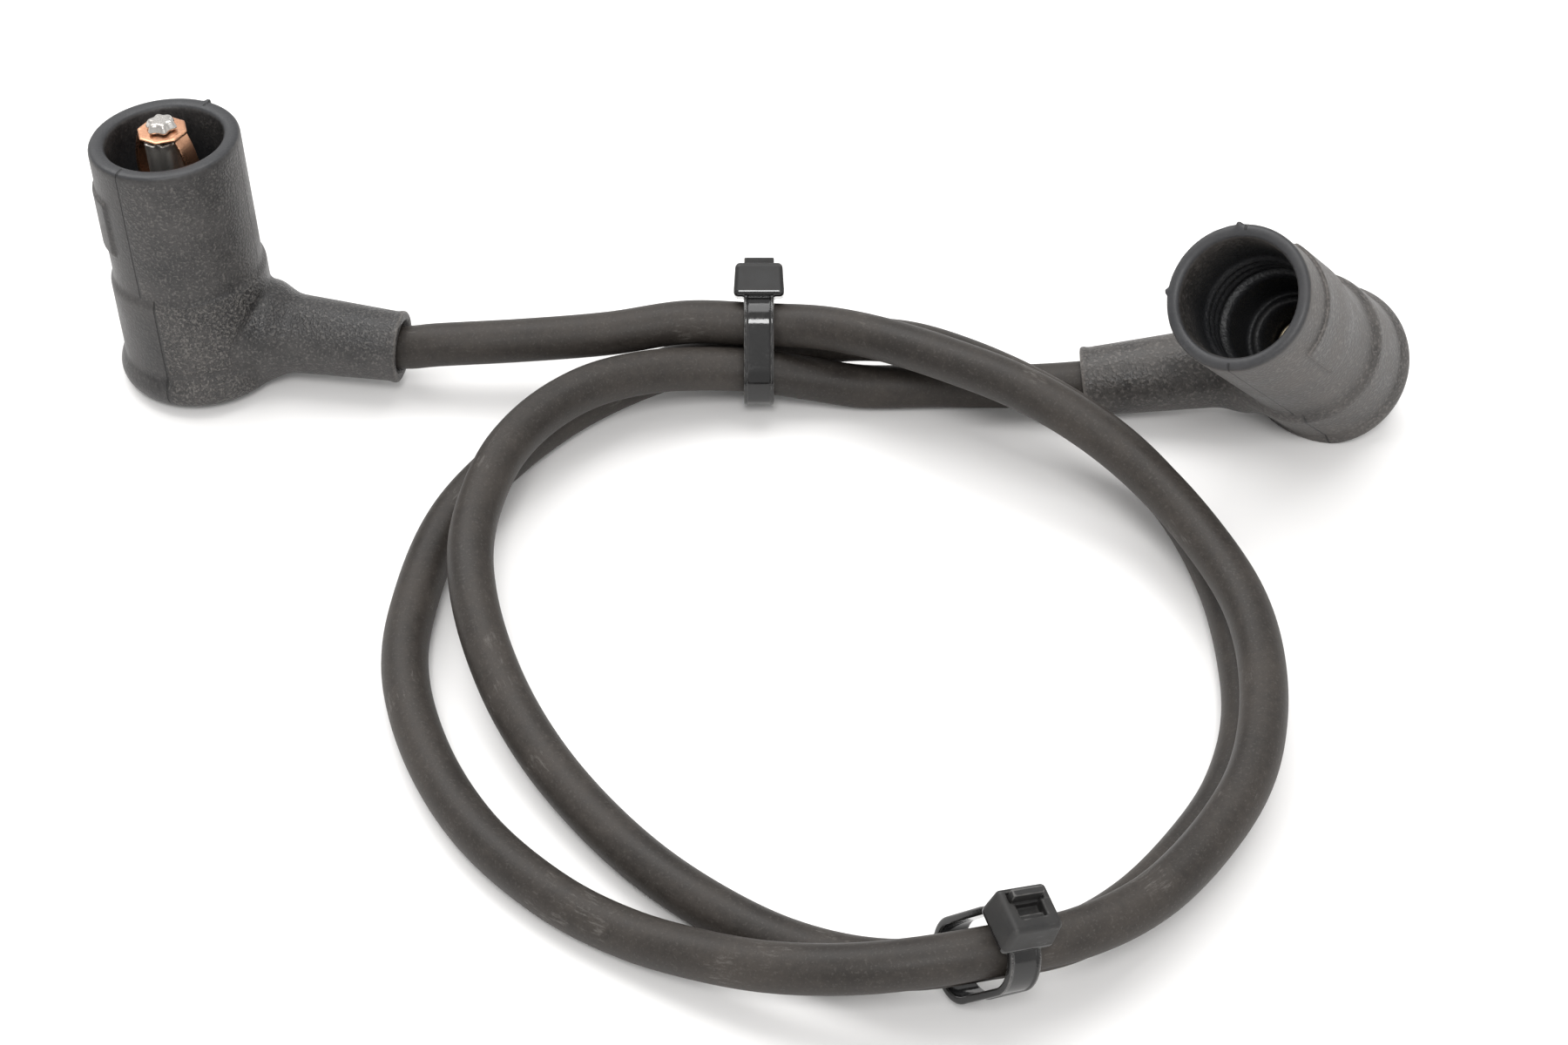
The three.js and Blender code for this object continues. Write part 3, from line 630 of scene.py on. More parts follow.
@dataclass(frozen=True)
class NylonFinish:
    """Black tie nylon: smooth, with dusty patches, pale worn edges and light scuffs."""

    name: str = "tie_nylon"
    dark: Colour = (0.007, 0.0068, 0.0068)
    dusty: Colour = (0.028, 0.026, 0.024)
    worn: Colour = (0.14, 0.135, 0.13)

    def make(self, effects: Effects) -> bpy.types.Material:
        """Builds the material.

        Args:
            effects: The shared groups.

        Returns:
            The material.
        """
        material, shader, surface = new_material(self.name)
        place = shader.stored("local", "Vector")
        bend = shader.stored("bend", "Fac")
        head = shader.stored("head", "Fac")
        cover = shader.between(head, 0.2, 0.45)
        dust = shader.add("ShaderNodeGroup", {"Vector": place, "Scale": 160.0, "Cover": cover},
                          node_tree=effects.dust).outputs["Mask"]
        wear = shader.add("ShaderNodeGroup", {"Vector": place, "Bend": bend, "Sharp": 5200.0},
                          node_tree=effects.wear).outputs["Mask"]
        scuffs = shader.add("ShaderNodeGroup", {"Vector": place, "Scale": 1500.0, "Amount": 0.45},
                            node_tree=effects.scuffs).outputs["Mask"]
        colour = shader.blend(dust, rgba(self.dark), rgba(self.dusty))
        faint = shader.times(scuffs, 0.3)
        marks = shader.maths("MAXIMUM", shader.times(wear, 0.55), faint)
        colour = shader.blend(marks, colour, rgba(self.worn))
        shader.link(colour, surface, "Base Color")
        dull = shader.plus(shader.between(dust, 0.1, 0.36), shader.times(head, 0.42))
        shader.link(dull, surface, "Roughness")
        height = shader.plus(shader.noise(place, 1600.0, 3.0), shader.times(scuffs, 0.5))
        add_bump(shader, surface, height, 0.000007)
        return material


@dataclass(frozen=True)
class MetalFinish:
    """Bare sheet metal with tarnish in patches, rubbed off in fine scuffs."""

    name: str
    bright: Colour
    tarnish: Colour
    cover: float
    roughness: tuple[float, float]

    def make(self, effects: Effects) -> bpy.types.Material:
        """Builds the material.

        Args:
            effects: The shared groups.

        Returns:
            The material.
        """
        material, shader, surface = new_material(self.name)
        place = shader.stored("local", "Vector")
        stain = shader.add("ShaderNodeGroup", {"Vector": place, "Scale": 330.0, "Cover": self.cover},
                           node_tree=effects.dust).outputs["Mask"]
        scuffs = shader.add("ShaderNodeGroup", {"Vector": place, "Scale": 1900.0, "Amount": 0.5},
                            node_tree=effects.scuffs).outputs["Mask"]
        rubbed = shader.maths("SUBTRACT", 1.0, shader.times(scuffs, 0.7))
        share = shader.times(stain, rubbed)
        colour = shader.blend(share, rgba(self.bright), rgba(self.tarnish))
        shader.link(colour, surface, "Base Color")
        shader.link(shader.between(stain, *self.roughness), surface, "Roughness")
        surface.inputs["Metallic"].default_value = 1.0
        add_bump(shader, surface, shader.noise(place, 2200.0, 4.0), 0.00002)
        return material


@dataclass(frozen=True)
class FibreFinish:
    """The cable's conductive core: black fibres laid along it."""

    name: str = "core_fibre"
    dark: Colour = (0.012, 0.011, 0.010)
    pale: Colour = (0.06, 0.057, 0.053)

    def make(self, effects: Effects) -> bpy.types.Material:
        """Builds the material.

        Args:
            effects: The shared groups.

        Returns:
            The material.
        """
        material, shader, surface = new_material(self.name)
        place = shader.add("ShaderNodeTexCoord").outputs["Object"]
        strands = shader.add("ShaderNodeGroup", {"Vector": place, "Scale": 3800.0, "Amount": 0.8},
                             node_tree=effects.scuffs).outputs["Mask"]
        colour = shader.blend(strands, rgba(self.dark), rgba(self.pale))
        shader.link(colour, surface, "Base Color")
        shader.link(shader.between(strands, 0.7, 0.9), surface, "Roughness")
        add_bump(shader, surface, strands, 0.00005)
        return material


@dataclass(frozen=True)
class FloorFinish:
    """The pale table top that the lead is seen on."""

    name: str = "table_top"
    light: Colour = (0.90, 0.89, 0.88)
    shade: Colour = (0.87, 0.86, 0.85)

    def make(self) -> bpy.types.Material:
        """Builds the material."""
        material, shader, surface = new_material(self.name)
        place = shader.add("ShaderNodeTexCoord").outputs["Object"]
        clouds = shader.noise(place, 2.5, 3.0)
        colour = shader.blend(clouds, rgba(self.light), rgba(self.shade))
        shader.link(colour, surface, "Base Color")
        surface.inputs["Roughness"].default_value = 0.6
        return material


@dataclass(frozen=True)
class Nub:
    """A trimmed bit of the mould's flash on a boot.

    Attributes:
        angle: Its angle round the tube, in radians.
        reach: Its distance from the tube's axis.
        height: Its height above the foot.
        radius: Its own radius.
    """

    angle: float
    reach: float
    height: float
    radius: float = 0.0005

    def centre(self) -> np.ndarray:
        """Returns its middle in the boot's frame."""
        return np.array([self.reach * math.cos(self.angle), self.reach * math.sin(self.angle), self.height])


@dataclass(kw_only=True)
class Boot:
    """A right-angle rubber boot: what the two have in common.

    Attributes:
        name: The piece's name.
        node: The solid it stands for.
        elbow: Where the sleeve's axis meets the tube's, in the layout.
        tube_direction: The way up the tube, in the layout.
        sleeve_direction: About the way out of the sleeve, in the layout.
        sleeve_lean: How far the sleeve points down from square to the tube.
        crispness: How wide the fillets between its parts are.
    """

    name: str
    node: str
    height: float
    tube_radius: float
    mouth_radius: float
    mouth_depth: float
    body_radius: float
    ledge_height: float
    ledge_rounding: float
    foot_radius: float
    foot_height: float
    foot_rounding: float
    rim_rounding: float
    elbow_height: float
    sleeve_length: float
    sleeve_root_radius: float
    sleeve_radius: float
    sleeve_end_radius: float
    sleeve_end_rounding: float
    sleeve_neck_length: float
    sleeve_lean: float
    cable_end: float
    pad_top: float
    pad_length: float
    crispness: float
    elbow: Point
    tube_direction: Point
    sleeve_direction: Point
    nubs: tuple[Nub, ...]
    pad_height: float = 0.0005
    pad_spread: float = math.radians(50)
    bore_radius: float = CABLE_RADIUS + TOUCH_GAP
    crimp_bore_radius: float = CABLE_RADIUS + 2 * TOUCH_GAP + SHEET
    crimp_end_beyond_cable: float = 0.0093
    step: float = 0.00035
    place: Matrix = field(init=False)

    def __post_init__(self) -> None:
        """Works out where the boot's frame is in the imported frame."""
        up = unit(self.tube_direction)
        across = unit(np.cross(up, unit(self.sleeve_direction)))
        out = np.cross(across, up)
        foot = np.array(self.elbow) - up * self.elbow_height
        self.place = Matrix(np.column_stack([out, across, up]).tolist()).to_4x4()
        self.place.translation = Vector(foot.tolist()) + LAYOUT_SHIFT

    def sleeve_axis(self) -> np.ndarray:
        """Returns the way out of the sleeve in the boot's frame."""
        return np.array([math.cos(self.sleeve_lean), 0.0, -math.sin(self.sleeve_lean)])

    def elbow_point(self) -> np.ndarray:
        """Returns the elbow in the boot's frame."""
        return np.array([0.0, 0.0, self.elbow_height])

    def along_sleeve(self, distance: float) -> np.ndarray:
        """Returns the point that far out on the sleeve's axis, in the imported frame."""
        local = self.elbow_point() + self.sleeve_axis() * distance
        return np.array(self.place @ Vector(local.tolist()))

    def outside(self) -> DistanceField:
        """Makes the outer shape: tube, body, foot, blank pad and sleeve.

        Returns:
            The solid, with nothing cut from it yet.
        """
        reach = self.foot_radius + 0.001
        far = self.sleeve_axis()[0] * self.sleeve_length + 0.003
        solid = DistanceField((-reach, -reach, -0.001), (far, reach, self.height + 0.001), self.step)
        radius, height = solid.about((0, 0, 0), np.array([0.0, 0.0, 1.0]))
        tube = {0.5 * self.foot_height: self.tube_radius, self.height: self.tube_radius}
        solid.join(turned(radius, height, tube, self.rim_rounding))
        body = {0.5 * self.foot_height: self.body_radius, self.ledge_height: self.body_radius}
        solid.join(turned(radius, height, body, self.ledge_rounding), self.crispness)
        foot = {0.0: self.foot_radius, 0.8 * self.foot_height: 0.985 * self.foot_radius,
                self.foot_height: self.body_radius}
        solid.join(turned(radius, height, foot, self.foot_rounding), 0.001)
        around = np.arctan2(solid.points[..., 1], -solid.points[..., 0]) * self.tube_radius
        unrolled = np.stack([around, radius, height], axis=-1)
        middle = (0.0, self.tube_radius, self.pad_top - self.pad_length / 2)
        half = (self.tube_radius * self.pad_spread, self.pad_height, self.pad_length / 2)
        solid.join(rounded_block(unrolled, middle, half, 0.00035), 0.0003)
        solid.join(self._sleeve(solid), self.crispness + 0.0004)
        for nub in self.nubs:
            away = np.sqrt(((solid.points - nub.centre()) ** 2).sum(-1))
            solid.join(away - nub.radius, 0.0003)
        return solid

    def _sleeve(self, solid: DistanceField) -> np.ndarray:
        """Measures the distance to the sleeve, with its flared root and its end lip."""
        radius, height = solid.about(self.elbow_point(), self.sleeve_axis())
        widths = {0.0: self.sleeve_root_radius, self.tube_radius: self.sleeve_root_radius}
        for share in (0.15, 0.3, 0.45, 0.6, 0.8, 1.0):
            eased = share * share * (3 - 2 * share)
            slim = self.sleeve_root_radius + (self.sleeve_radius - self.sleeve_root_radius) * eased
            widths[self.tube_radius + self.sleeve_neck_length * share] = slim
        widths[self.sleeve_length] = self.sleeve_end_radius
        sleeve = turned(radius, height, widths, self.sleeve_end_rounding)
        lip_radius = self.sleeve_end_radius + 0.00025
        lip = {self.sleeve_length - 0.0013: lip_radius, self.sleeve_length - 0.0001: lip_radius}
        return smooth_min(sleeve, turned(radius, height, lip, 0.0005), 0.0004)

    def cut_bore(self, solid: DistanceField) -> None:
        """Cuts the cable's bore, wider round the crimp and countersunk at its mouth."""
        radius, height = solid.about(self.elbow_point(), self.sleeve_axis())
        crimp_end = self.cable_end + self.crimp_end_beyond_cable
        wide = {-self.crimp_bore_radius: self.crimp_bore_radius, crimp_end: self.crimp_bore_radius}
        solid.cut(turned(radius, height, wide, 0.0002))
        close = {0.0: self.bore_radius, self.sleeve_length - 0.0014: self.bore_radius,
                 self.sleeve_length: self.bore_radius + 0.0007,
                 self.sleeve_length + 0.003: self.bore_radius + 0.002}
        solid.cut(turned(radius, height, close, 0.0001), 0.0004)

    def cut_mouth(self, solid: DistanceField) -> None:
        """Cuts what the tube holds inside."""
        raise NotImplementedError

    def coarseness(self, vertices: np.ndarray) -> np.ndarray:
        """Says how coarse the moulded grain is at each point: 0 smooth, 0.5 fine and 1 rough."""
        raise NotImplementedError

    def build(self, material: bpy.types.Material) -> bpy.types.Object:
        """Makes the boot.

        Args:
            material: Its rubber.

        Returns:
            The boot's object.
        """
        solid = self.outside()
        self.cut_mouth(solid)
        self.cut_bore(solid)
        row = np.array(self.place)[2]
        solid.cut(solid.points @ row[:3] + row[3], 0.0003)
        vertices, faces, bend = solid.surface()
        piece = mesh_piece(self.name, vertices, faces, self.place)
        reach = np.hypot(vertices[:, 0], vertices[:, 1])
        # Mask for the painted shade deep inside the mouth: deep below the rim and within the mouth's radius
        deep = np.clip((self.height - 0.002 - vertices[:, 2]) / 0.007, 0, 1)
        store(piece, "bend", bend)
        store(piece, "painted_hollow_shade", deep * (reach < self.mouth_radius + 0.0004))
        store(piece, "coarse", self.coarseness(vertices))
        piece.data.materials.append(material)
        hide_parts(self.node)
        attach(piece, BODY)
        return piece


@dataclass(kw_only=True)
class CoilBoot(Boot):
    """The left boot: a wide mouth round a fluted post, and a body grained in panels on one side."""

    post_hole_radius: float
    parting_angle: float = -110.0
    lower_parting_angle: float = -98.0
    far_parting_angle: float = 75.0

    def cut_mouth(self, solid: DistanceField) -> None:
        """Cuts the mouth, and the hole that the post stands in."""
        radius, height = solid.about((0, 0, 0), np.array([0.0, 0.0, 1.0]))
        floor = self.height - self.mouth_depth
        hole = {self.elbow_height: self.post_hole_radius, floor + 0.001: self.post_hole_radius}
        solid.cut(turned(radius, height, hole, 0.0))
        mouth = {floor: self.mouth_radius, self.height + 0.002: self.mouth_radius}
        solid.cut(turned(radius, height, mouth, 0.001), 0.0011)

    def coarseness(self, vertices: np.ndarray) -> np.ndarray:
        """Says how coarse the moulded grain is at each point: 0 smooth, 0.5 fine and 1 rough."""
        x, y, z = vertices.T
        angle = np.degrees(np.arctan2(y, x))
        parting = np.where(z > self.ledge_height, self.parting_angle, self.lower_parting_angle)
        level = np.where((angle > parting) & (angle < self.far_parting_angle), 0.5, 0.12)
        offset = vertices - self.elbow_point()
        along = offset @ self.sleeve_axis()
        off_axis = np.sqrt(np.maximum((offset**2).sum(1) - along**2, 0))
        panel = (z < self.ledge_height - 0.0009) & (angle > parting + 2) & (angle < -12)
        panel &= (off_axis > self.sleeve_root_radius + 0.0012) & (np.abs(z - self.foot_height) > 0.0005)
        level = np.where(panel, 1.0, level)
        return np.where(z > self.height - 0.0013, 0.0, level)


@dataclass(kw_only=True)
class PlugBoot(Boot):
    """The right boot: sealing ribs in its mouth, and a stepped floor round the plug terminal's cup."""

    cup_hole_radius: float
    cup_lead_in: float
    step_radius: float
    step_depth: float
    rib_heights: tuple[float, ...]
    rib_radius: float = 0.0007

    def cut_mouth(self, solid: DistanceField) -> None:
        """Cuts the stepped mouth, then puts the ribs and the floor's ring in it."""
        radius, height = solid.about((0, 0, 0), np.array([0.0, 0.0, 1.0]))
        shelf = self.height - self.mouth_depth
        floor = shelf - self.step_depth
        hole = {self.elbow_height - self.crimp_bore_radius: self.cup_hole_radius,
                floor - 0.0035: self.cup_hole_radius,
                floor + 0.001: self.cup_hole_radius + self.cup_lead_in}
        solid.cut(turned(radius, height, hole, 0.0))
        well = {floor: self.step_radius, shelf + 0.001: self.step_radius}
        solid.cut(turned(radius, height, well, 0.0008), 0.0006)
        mouth = {shelf: self.mouth_radius, self.height + 0.002: self.mouth_radius}
        solid.cut(turned(radius, height, mouth, 0.0006), 0.0012)
        for at in self.rib_heights:
            solid.join(np.hypot(radius - self.mouth_radius, height - at) - self.rib_radius, 0.0006)
        ring = np.hypot(radius - self.cup_hole_radius - self.cup_lead_in - 0.0006, height - floor) - 0.0006
        solid.join(ring, 0.0005)

    def coarseness(self, vertices: np.ndarray) -> np.ndarray:
        """Says how coarse the moulded grain is at each point: 0 smooth, 0.5 fine and 1 rough."""
        return np.where(vertices[:, 2] > self.height - 0.0016, 0.0, 0.5)


@dataclass
class Cable:
    """The rubber-jacketed cable, from the crimp in one boot to the crimp in the other.

    Attributes:
        start: The boot it comes out of.
        stop: The boot it goes into.
        route: The layout's points between the two sleeves.
        spacing: How far apart its rings are.
        sides: How many points each ring has.
        point_in_sleeve: Where its middle point in a sleeve lies, as a share of the sleeve's length.
    """

    start: Boot
    stop: Boot
    route: tuple[Point, ...]
    spacing: float = 0.0012
    sides: int = 36
    point_in_sleeve: float = 0.6

    def centreline(self) -> np.ndarray:
        """Returns the points that the cable's middle follows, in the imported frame."""
        ends = []
        for boot in (self.start, self.stop):
            distances = (boot.cable_end, boot.sleeve_length * self.point_in_sleeve, boot.sleeve_length)
            ends.append([boot.along_sleeve(distance) for distance in distances])
        free = np.array(self.route) + np.array(LAYOUT_SHIFT)
        return catmull_rom(np.vstack([ends[0], free, ends[1][::-1]]), self.spacing)

    def build(self, material: bpy.types.Material, bound: list[bpy.types.Object]) -> bpy.types.Object:
        """Makes the cable.

        Args:
            material: Its rubber.
            bound: The pieces that hold its turns together; not used.

        Returns:
            The cable's object.
        """
        line = self.centreline()
        steps = np.linalg.norm(np.diff(line, axis=0), axis=1)
        along = np.concatenate([[0.0], np.cumsum(steps)])
        tangents = np.gradient(line, axis=0)
        tangents /= np.linalg.norm(tangents, axis=1)[:, None]
        side = unit(np.cross(tangents[0], (0.0, 0.0, 1.0)))
        turns = np.arange(self.sides) / self.sides * 2 * math.pi
        rings, flow = [], []
        for centre, tangent, distance in zip(line, tangents, along):
            side = unit(side - tangent * (side @ tangent))
            over = np.cross(tangent, side)
            ring = np.outer(np.cos(turns), side) + np.outer(np.sin(turns), over)
            rings.append(centre + CABLE_RADIUS * ring)
            flow.append(np.stack([CABLE_RADIUS * np.cos(turns), CABLE_RADIUS * np.sin(turns),
                                  np.full(self.sides, distance)], axis=1))
        faces = []
        for ring in range(len(line) - 1):
            base = ring * self.sides
            for i in range(self.sides):
                j = (i + 1) % self.sides
                faces.append([base + i, base + j, base + self.sides + j, base + self.sides + i])
        last = (len(line) - 1) * self.sides
        faces.append(list(range(self.sides))[::-1])
        faces.append([last + i for i in range(self.sides)])
        piece = mesh_piece("cable_jacket", np.vstack(rings), faces)
        store(piece, "flow", np.vstack(flow))
        piece.data.materials.append(material)
        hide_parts("cable")
        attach(piece, BODY)
        self.start.along_sleeve(self.start.sleeve_length)
        return piece


@dataclass(kw_only=True)
class Tie:
    """A cable tie: strap, head and cut tail in one moulding, made about its own +Z.

    Attributes:
        name: The piece's name.
        node: The solid it stands for.
        strands: The middles of the strands inside it, anticlockwise in its own XY plane.
        head_strand: The strand that its head sits on.
        head_angle: The way out through the head from there.
        inner_radius: The strap's inner radius round a strand.
        place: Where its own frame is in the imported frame.
    """

    name: str
    node: str
    strands: tuple[tuple[float, float], ...]
    head_strand: tuple[float, float]
    head_angle: float
    inner_radius: float
    place: Matrix
    width: float = 0.0048
    thickness: float = 0.0011
    head_length: float = 0.0074
    head_width: float = 0.0082
    head_height: float = 0.0054
    head_rounding: float = 0.0008
    head_taper: float = 0.09
    pocket_length: float = 0.0024
    pocket_width: float = 0.004
    pocket_depth: float = 0.0016
    tail_stub: float = 0.0012
    groove_depth: float = 0.00018
    edge_width: float = 0.00055
    step: float = 0.00014

    def hull_distance(self, points: np.ndarray) -> np.ndarray:
        """Measures the distance to the outline that joins the strands' middles, in the XY plane."""
        flat = points[..., :2]
        nearest = np.full(flat.shape[:-1], np.inf)
        inside = np.full(flat.shape[:-1], len(self.strands) > 2)
        for first, second in zip(self.strands, self.strands[1:] + self.strands[:1]):
            start, edge = np.array(first), np.array(second) - np.array(first)
            offset = flat - start
            share = np.clip((offset @ edge) / (edge @ edge), 0, 1)
            nearest = np.minimum(nearest, np.sqrt(((offset - share[..., None] * edge) ** 2).sum(-1)))
            inside &= edge[0] * offset[..., 1] - edge[1] * offset[..., 0] > 0
        return np.where(inside, -nearest, nearest)

    def head_frame(self, points: np.ndarray) -> np.ndarray:
        """Gives the points as the head sees them: along the strap, across it and outwards."""
        offset = points[..., :2] - np.array(self.head_strand)
        cos, sin = math.cos(self.head_angle), math.sin(self.head_angle)
        along = offset @ np.array([-sin, cos])
        return np.stack([along, points[..., 2], offset @ np.array([cos, sin])], axis=-1)

    def _strap(self, solid: DistanceField) -> np.ndarray:
        """Measures the distance to the strap, with its outer face sunk between two thin edges."""
        off = self.hull_distance(solid.points)
        section = np.stack([off - self.inner_radius - self.thickness / 2, solid.points[..., 2]], axis=-1)
        strap = rounded_block(section, (0.0, 0.0), (self.thickness / 2, self.width / 2), 0.0002)
        middle = (self.thickness / 2 + 0.001 - self.groove_depth, 0.0)
        groove = rounded_block(section, middle, (0.001, self.width / 2 - self.edge_width), 0.00012)
        return np.maximum(strap, -groove)

    def _head(self, solid: DistanceField) -> np.ndarray:
        """Measures the distance to the head, with its pocket, its pawl and the cut tail."""
        local = self.head_frame(solid.points)
        outwards = local[..., 2] - self.inner_radius
        slim = 1 + self.head_taper * np.clip(outwards / self.head_height, 0, 1.2)
        tapered = local * np.stack([slim, slim, np.ones_like(slim)], axis=-1)
        middle = (0.0, 0.0, self.inner_radius + self.head_height / 2)
        half = (self.head_length / 2, self.head_width / 2, self.head_height / 2)
        head = rounded_block(tapered, middle, half, self.head_rounding)
        top = self.inner_radius + self.head_height
        pocket_half = (self.pocket_length / 2, self.pocket_width / 2, self.pocket_depth)
        pocket = rounded_block(local, (0.0003, 0.0, top), pocket_half, 0.0002)
        head = -smooth_min(-head, pocket, 0.0003)
        pawl_half = (0.00045, self.pocket_width / 2, 0.0007)
        pawl = rounded_block(local, (0.0009, 0.0, top - self.pocket_depth), pawl_half, 0.0002)
        head = smooth_min(head, pawl, 0.0001)
        tail_at = -self.head_length / 2 + self.head_rounding + self.thickness
        slot_half = (self.thickness / 2 + 0.0002, self.width / 2 + 0.0002, 0.0007)
        slot = rounded_block(local, (tail_at, 0.0, top + 0.0001), slot_half, 0.0001)
        head = -smooth_min(-head, slot, 0.0003)
        tail_half = (self.thickness / 2, self.width / 2, (self.head_height + self.tail_stub) / 2)
        tail_middle = (tail_at, 0.0, self.inner_radius + tail_half[2])
        return np.minimum(head, rounded_block(local, tail_middle, tail_half, 0.00015))

    def build(self, material: bpy.types.Material) -> bpy.types.Object:
        """Makes the tie.

        Args:
            material: Its nylon.

        Returns:
            The tie's object.
        """
        cos, sin = math.cos(self.head_angle), math.sin(self.head_angle)
        reach = self.inner_radius + self.head_height + self.tail_stub
        half = self.head_length / 2
        x, y = self.head_strand
        corners = [(x + reach * cos + s * half * sin, y + reach * sin - s * half * cos) for s in (-1, 1)]
        around = self.inner_radius + self.thickness
        corners += [(x + s * around, y + s * around) for x, y in self.strands for s in (-1, 1)]
        margin = 0.0006
        side = self.head_width / 2 + margin
        low = [min(corner[axis] for corner in corners) - margin for axis in (0, 1)] + [-side]
        high = [max(corner[axis] for corner in corners) + margin for axis in (0, 1)] + [side]
        solid = DistanceField(tuple(low), tuple(high), self.step)
        solid.join(self._strap(solid))
        solid.join(self._head(solid), 0.0003)
        vertices, faces, bend = solid.surface()
        piece = mesh_piece(self.name, vertices, faces, self.place)
        local = self.head_frame(vertices)
        above_strap = local[:, 2] > self.inner_radius + self.thickness * 0.9
        on_head = (np.abs(local[:, 0]) < half + margin) & above_strap
        store(piece, "bend", bend)
        store(piece, "head", on_head.astype(float))
        piece.data.materials.append(material)
        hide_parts(self.node)
        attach(piece, BODY)
        return piece


@dataclass
class Terminal:
    """The metal at one end: a crimp round the cable and a tongue from it under the boot's tube.

    Attributes:
        boot: The boot it is in.
        tongue_end: How far past the elbow the tongue runs.
    """

    boot: Boot
    tongue_end: float
    tongue_width: float = 0.0054
    crimp_length: float = 0.0105
    crimp_overhang: float = 0.0015
    step: float = 0.00019

    def crimp_and_tongue(self, solid: DistanceField) -> float:
        """Adds the crimp and the tongue.

        Args:
            solid: The solid they are added to, in the boot's frame.

        Returns:
            The height of the tongue's upper face at the elbow.
        """
        boot = self.boot
        radius, height = solid.about(boot.elbow_point(), boot.sleeve_axis())
        low = boot.cable_end - self.crimp_overhang
        from_wall = radius - boot.bore_radius - SHEET / 2
        ring = np.stack([from_wall, height - low - self.crimp_length / 2], axis=-1)
        solid.join(rounded_block(ring, (0.0, 0.0), (SHEET / 2, self.crimp_length / 2), 0.0001))
        drop = math.sqrt(boot.bore_radius**2 - (self.tongue_width / 2) ** 2)
        down = np.array([-math.sin(boot.sleeve_lean), 0.0, -math.cos(boot.sleeve_lean)])
        below = (solid.points - boot.elbow_point()) @ down
        local = np.stack([height, solid.points[..., 1], below], axis=-1)
        middle = ((low + SHEET - self.tongue_end) / 2, 0.0, drop + SHEET / 2)
        half = ((low + SHEET + self.tongue_end) / 2, self.tongue_width / 2, SHEET / 2)
        solid.join(rounded_block(local, middle, half, 0.0001))
        return boot.elbow_height - drop

    def keep(
        self, solid: DistanceField, name: str, node: str, slot: Slot, material: bpy.types.Material
    ) -> None:
        """Skins a finished solid and gives it its material and its place.

        Args:
            solid: The solid, in the boot's frame.
            name: The piece's name.
            node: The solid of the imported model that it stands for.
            slot: Its material slot; not used.
            material: Its metal.
        """
        vertices, faces, _ = solid.surface()
        piece = mesh_piece(name, vertices, faces, self.boot.place)
        piece.data.materials.append(material)
        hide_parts(node)
        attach(piece, BODY)
        log.info("%s: %d faces", name, len(faces))


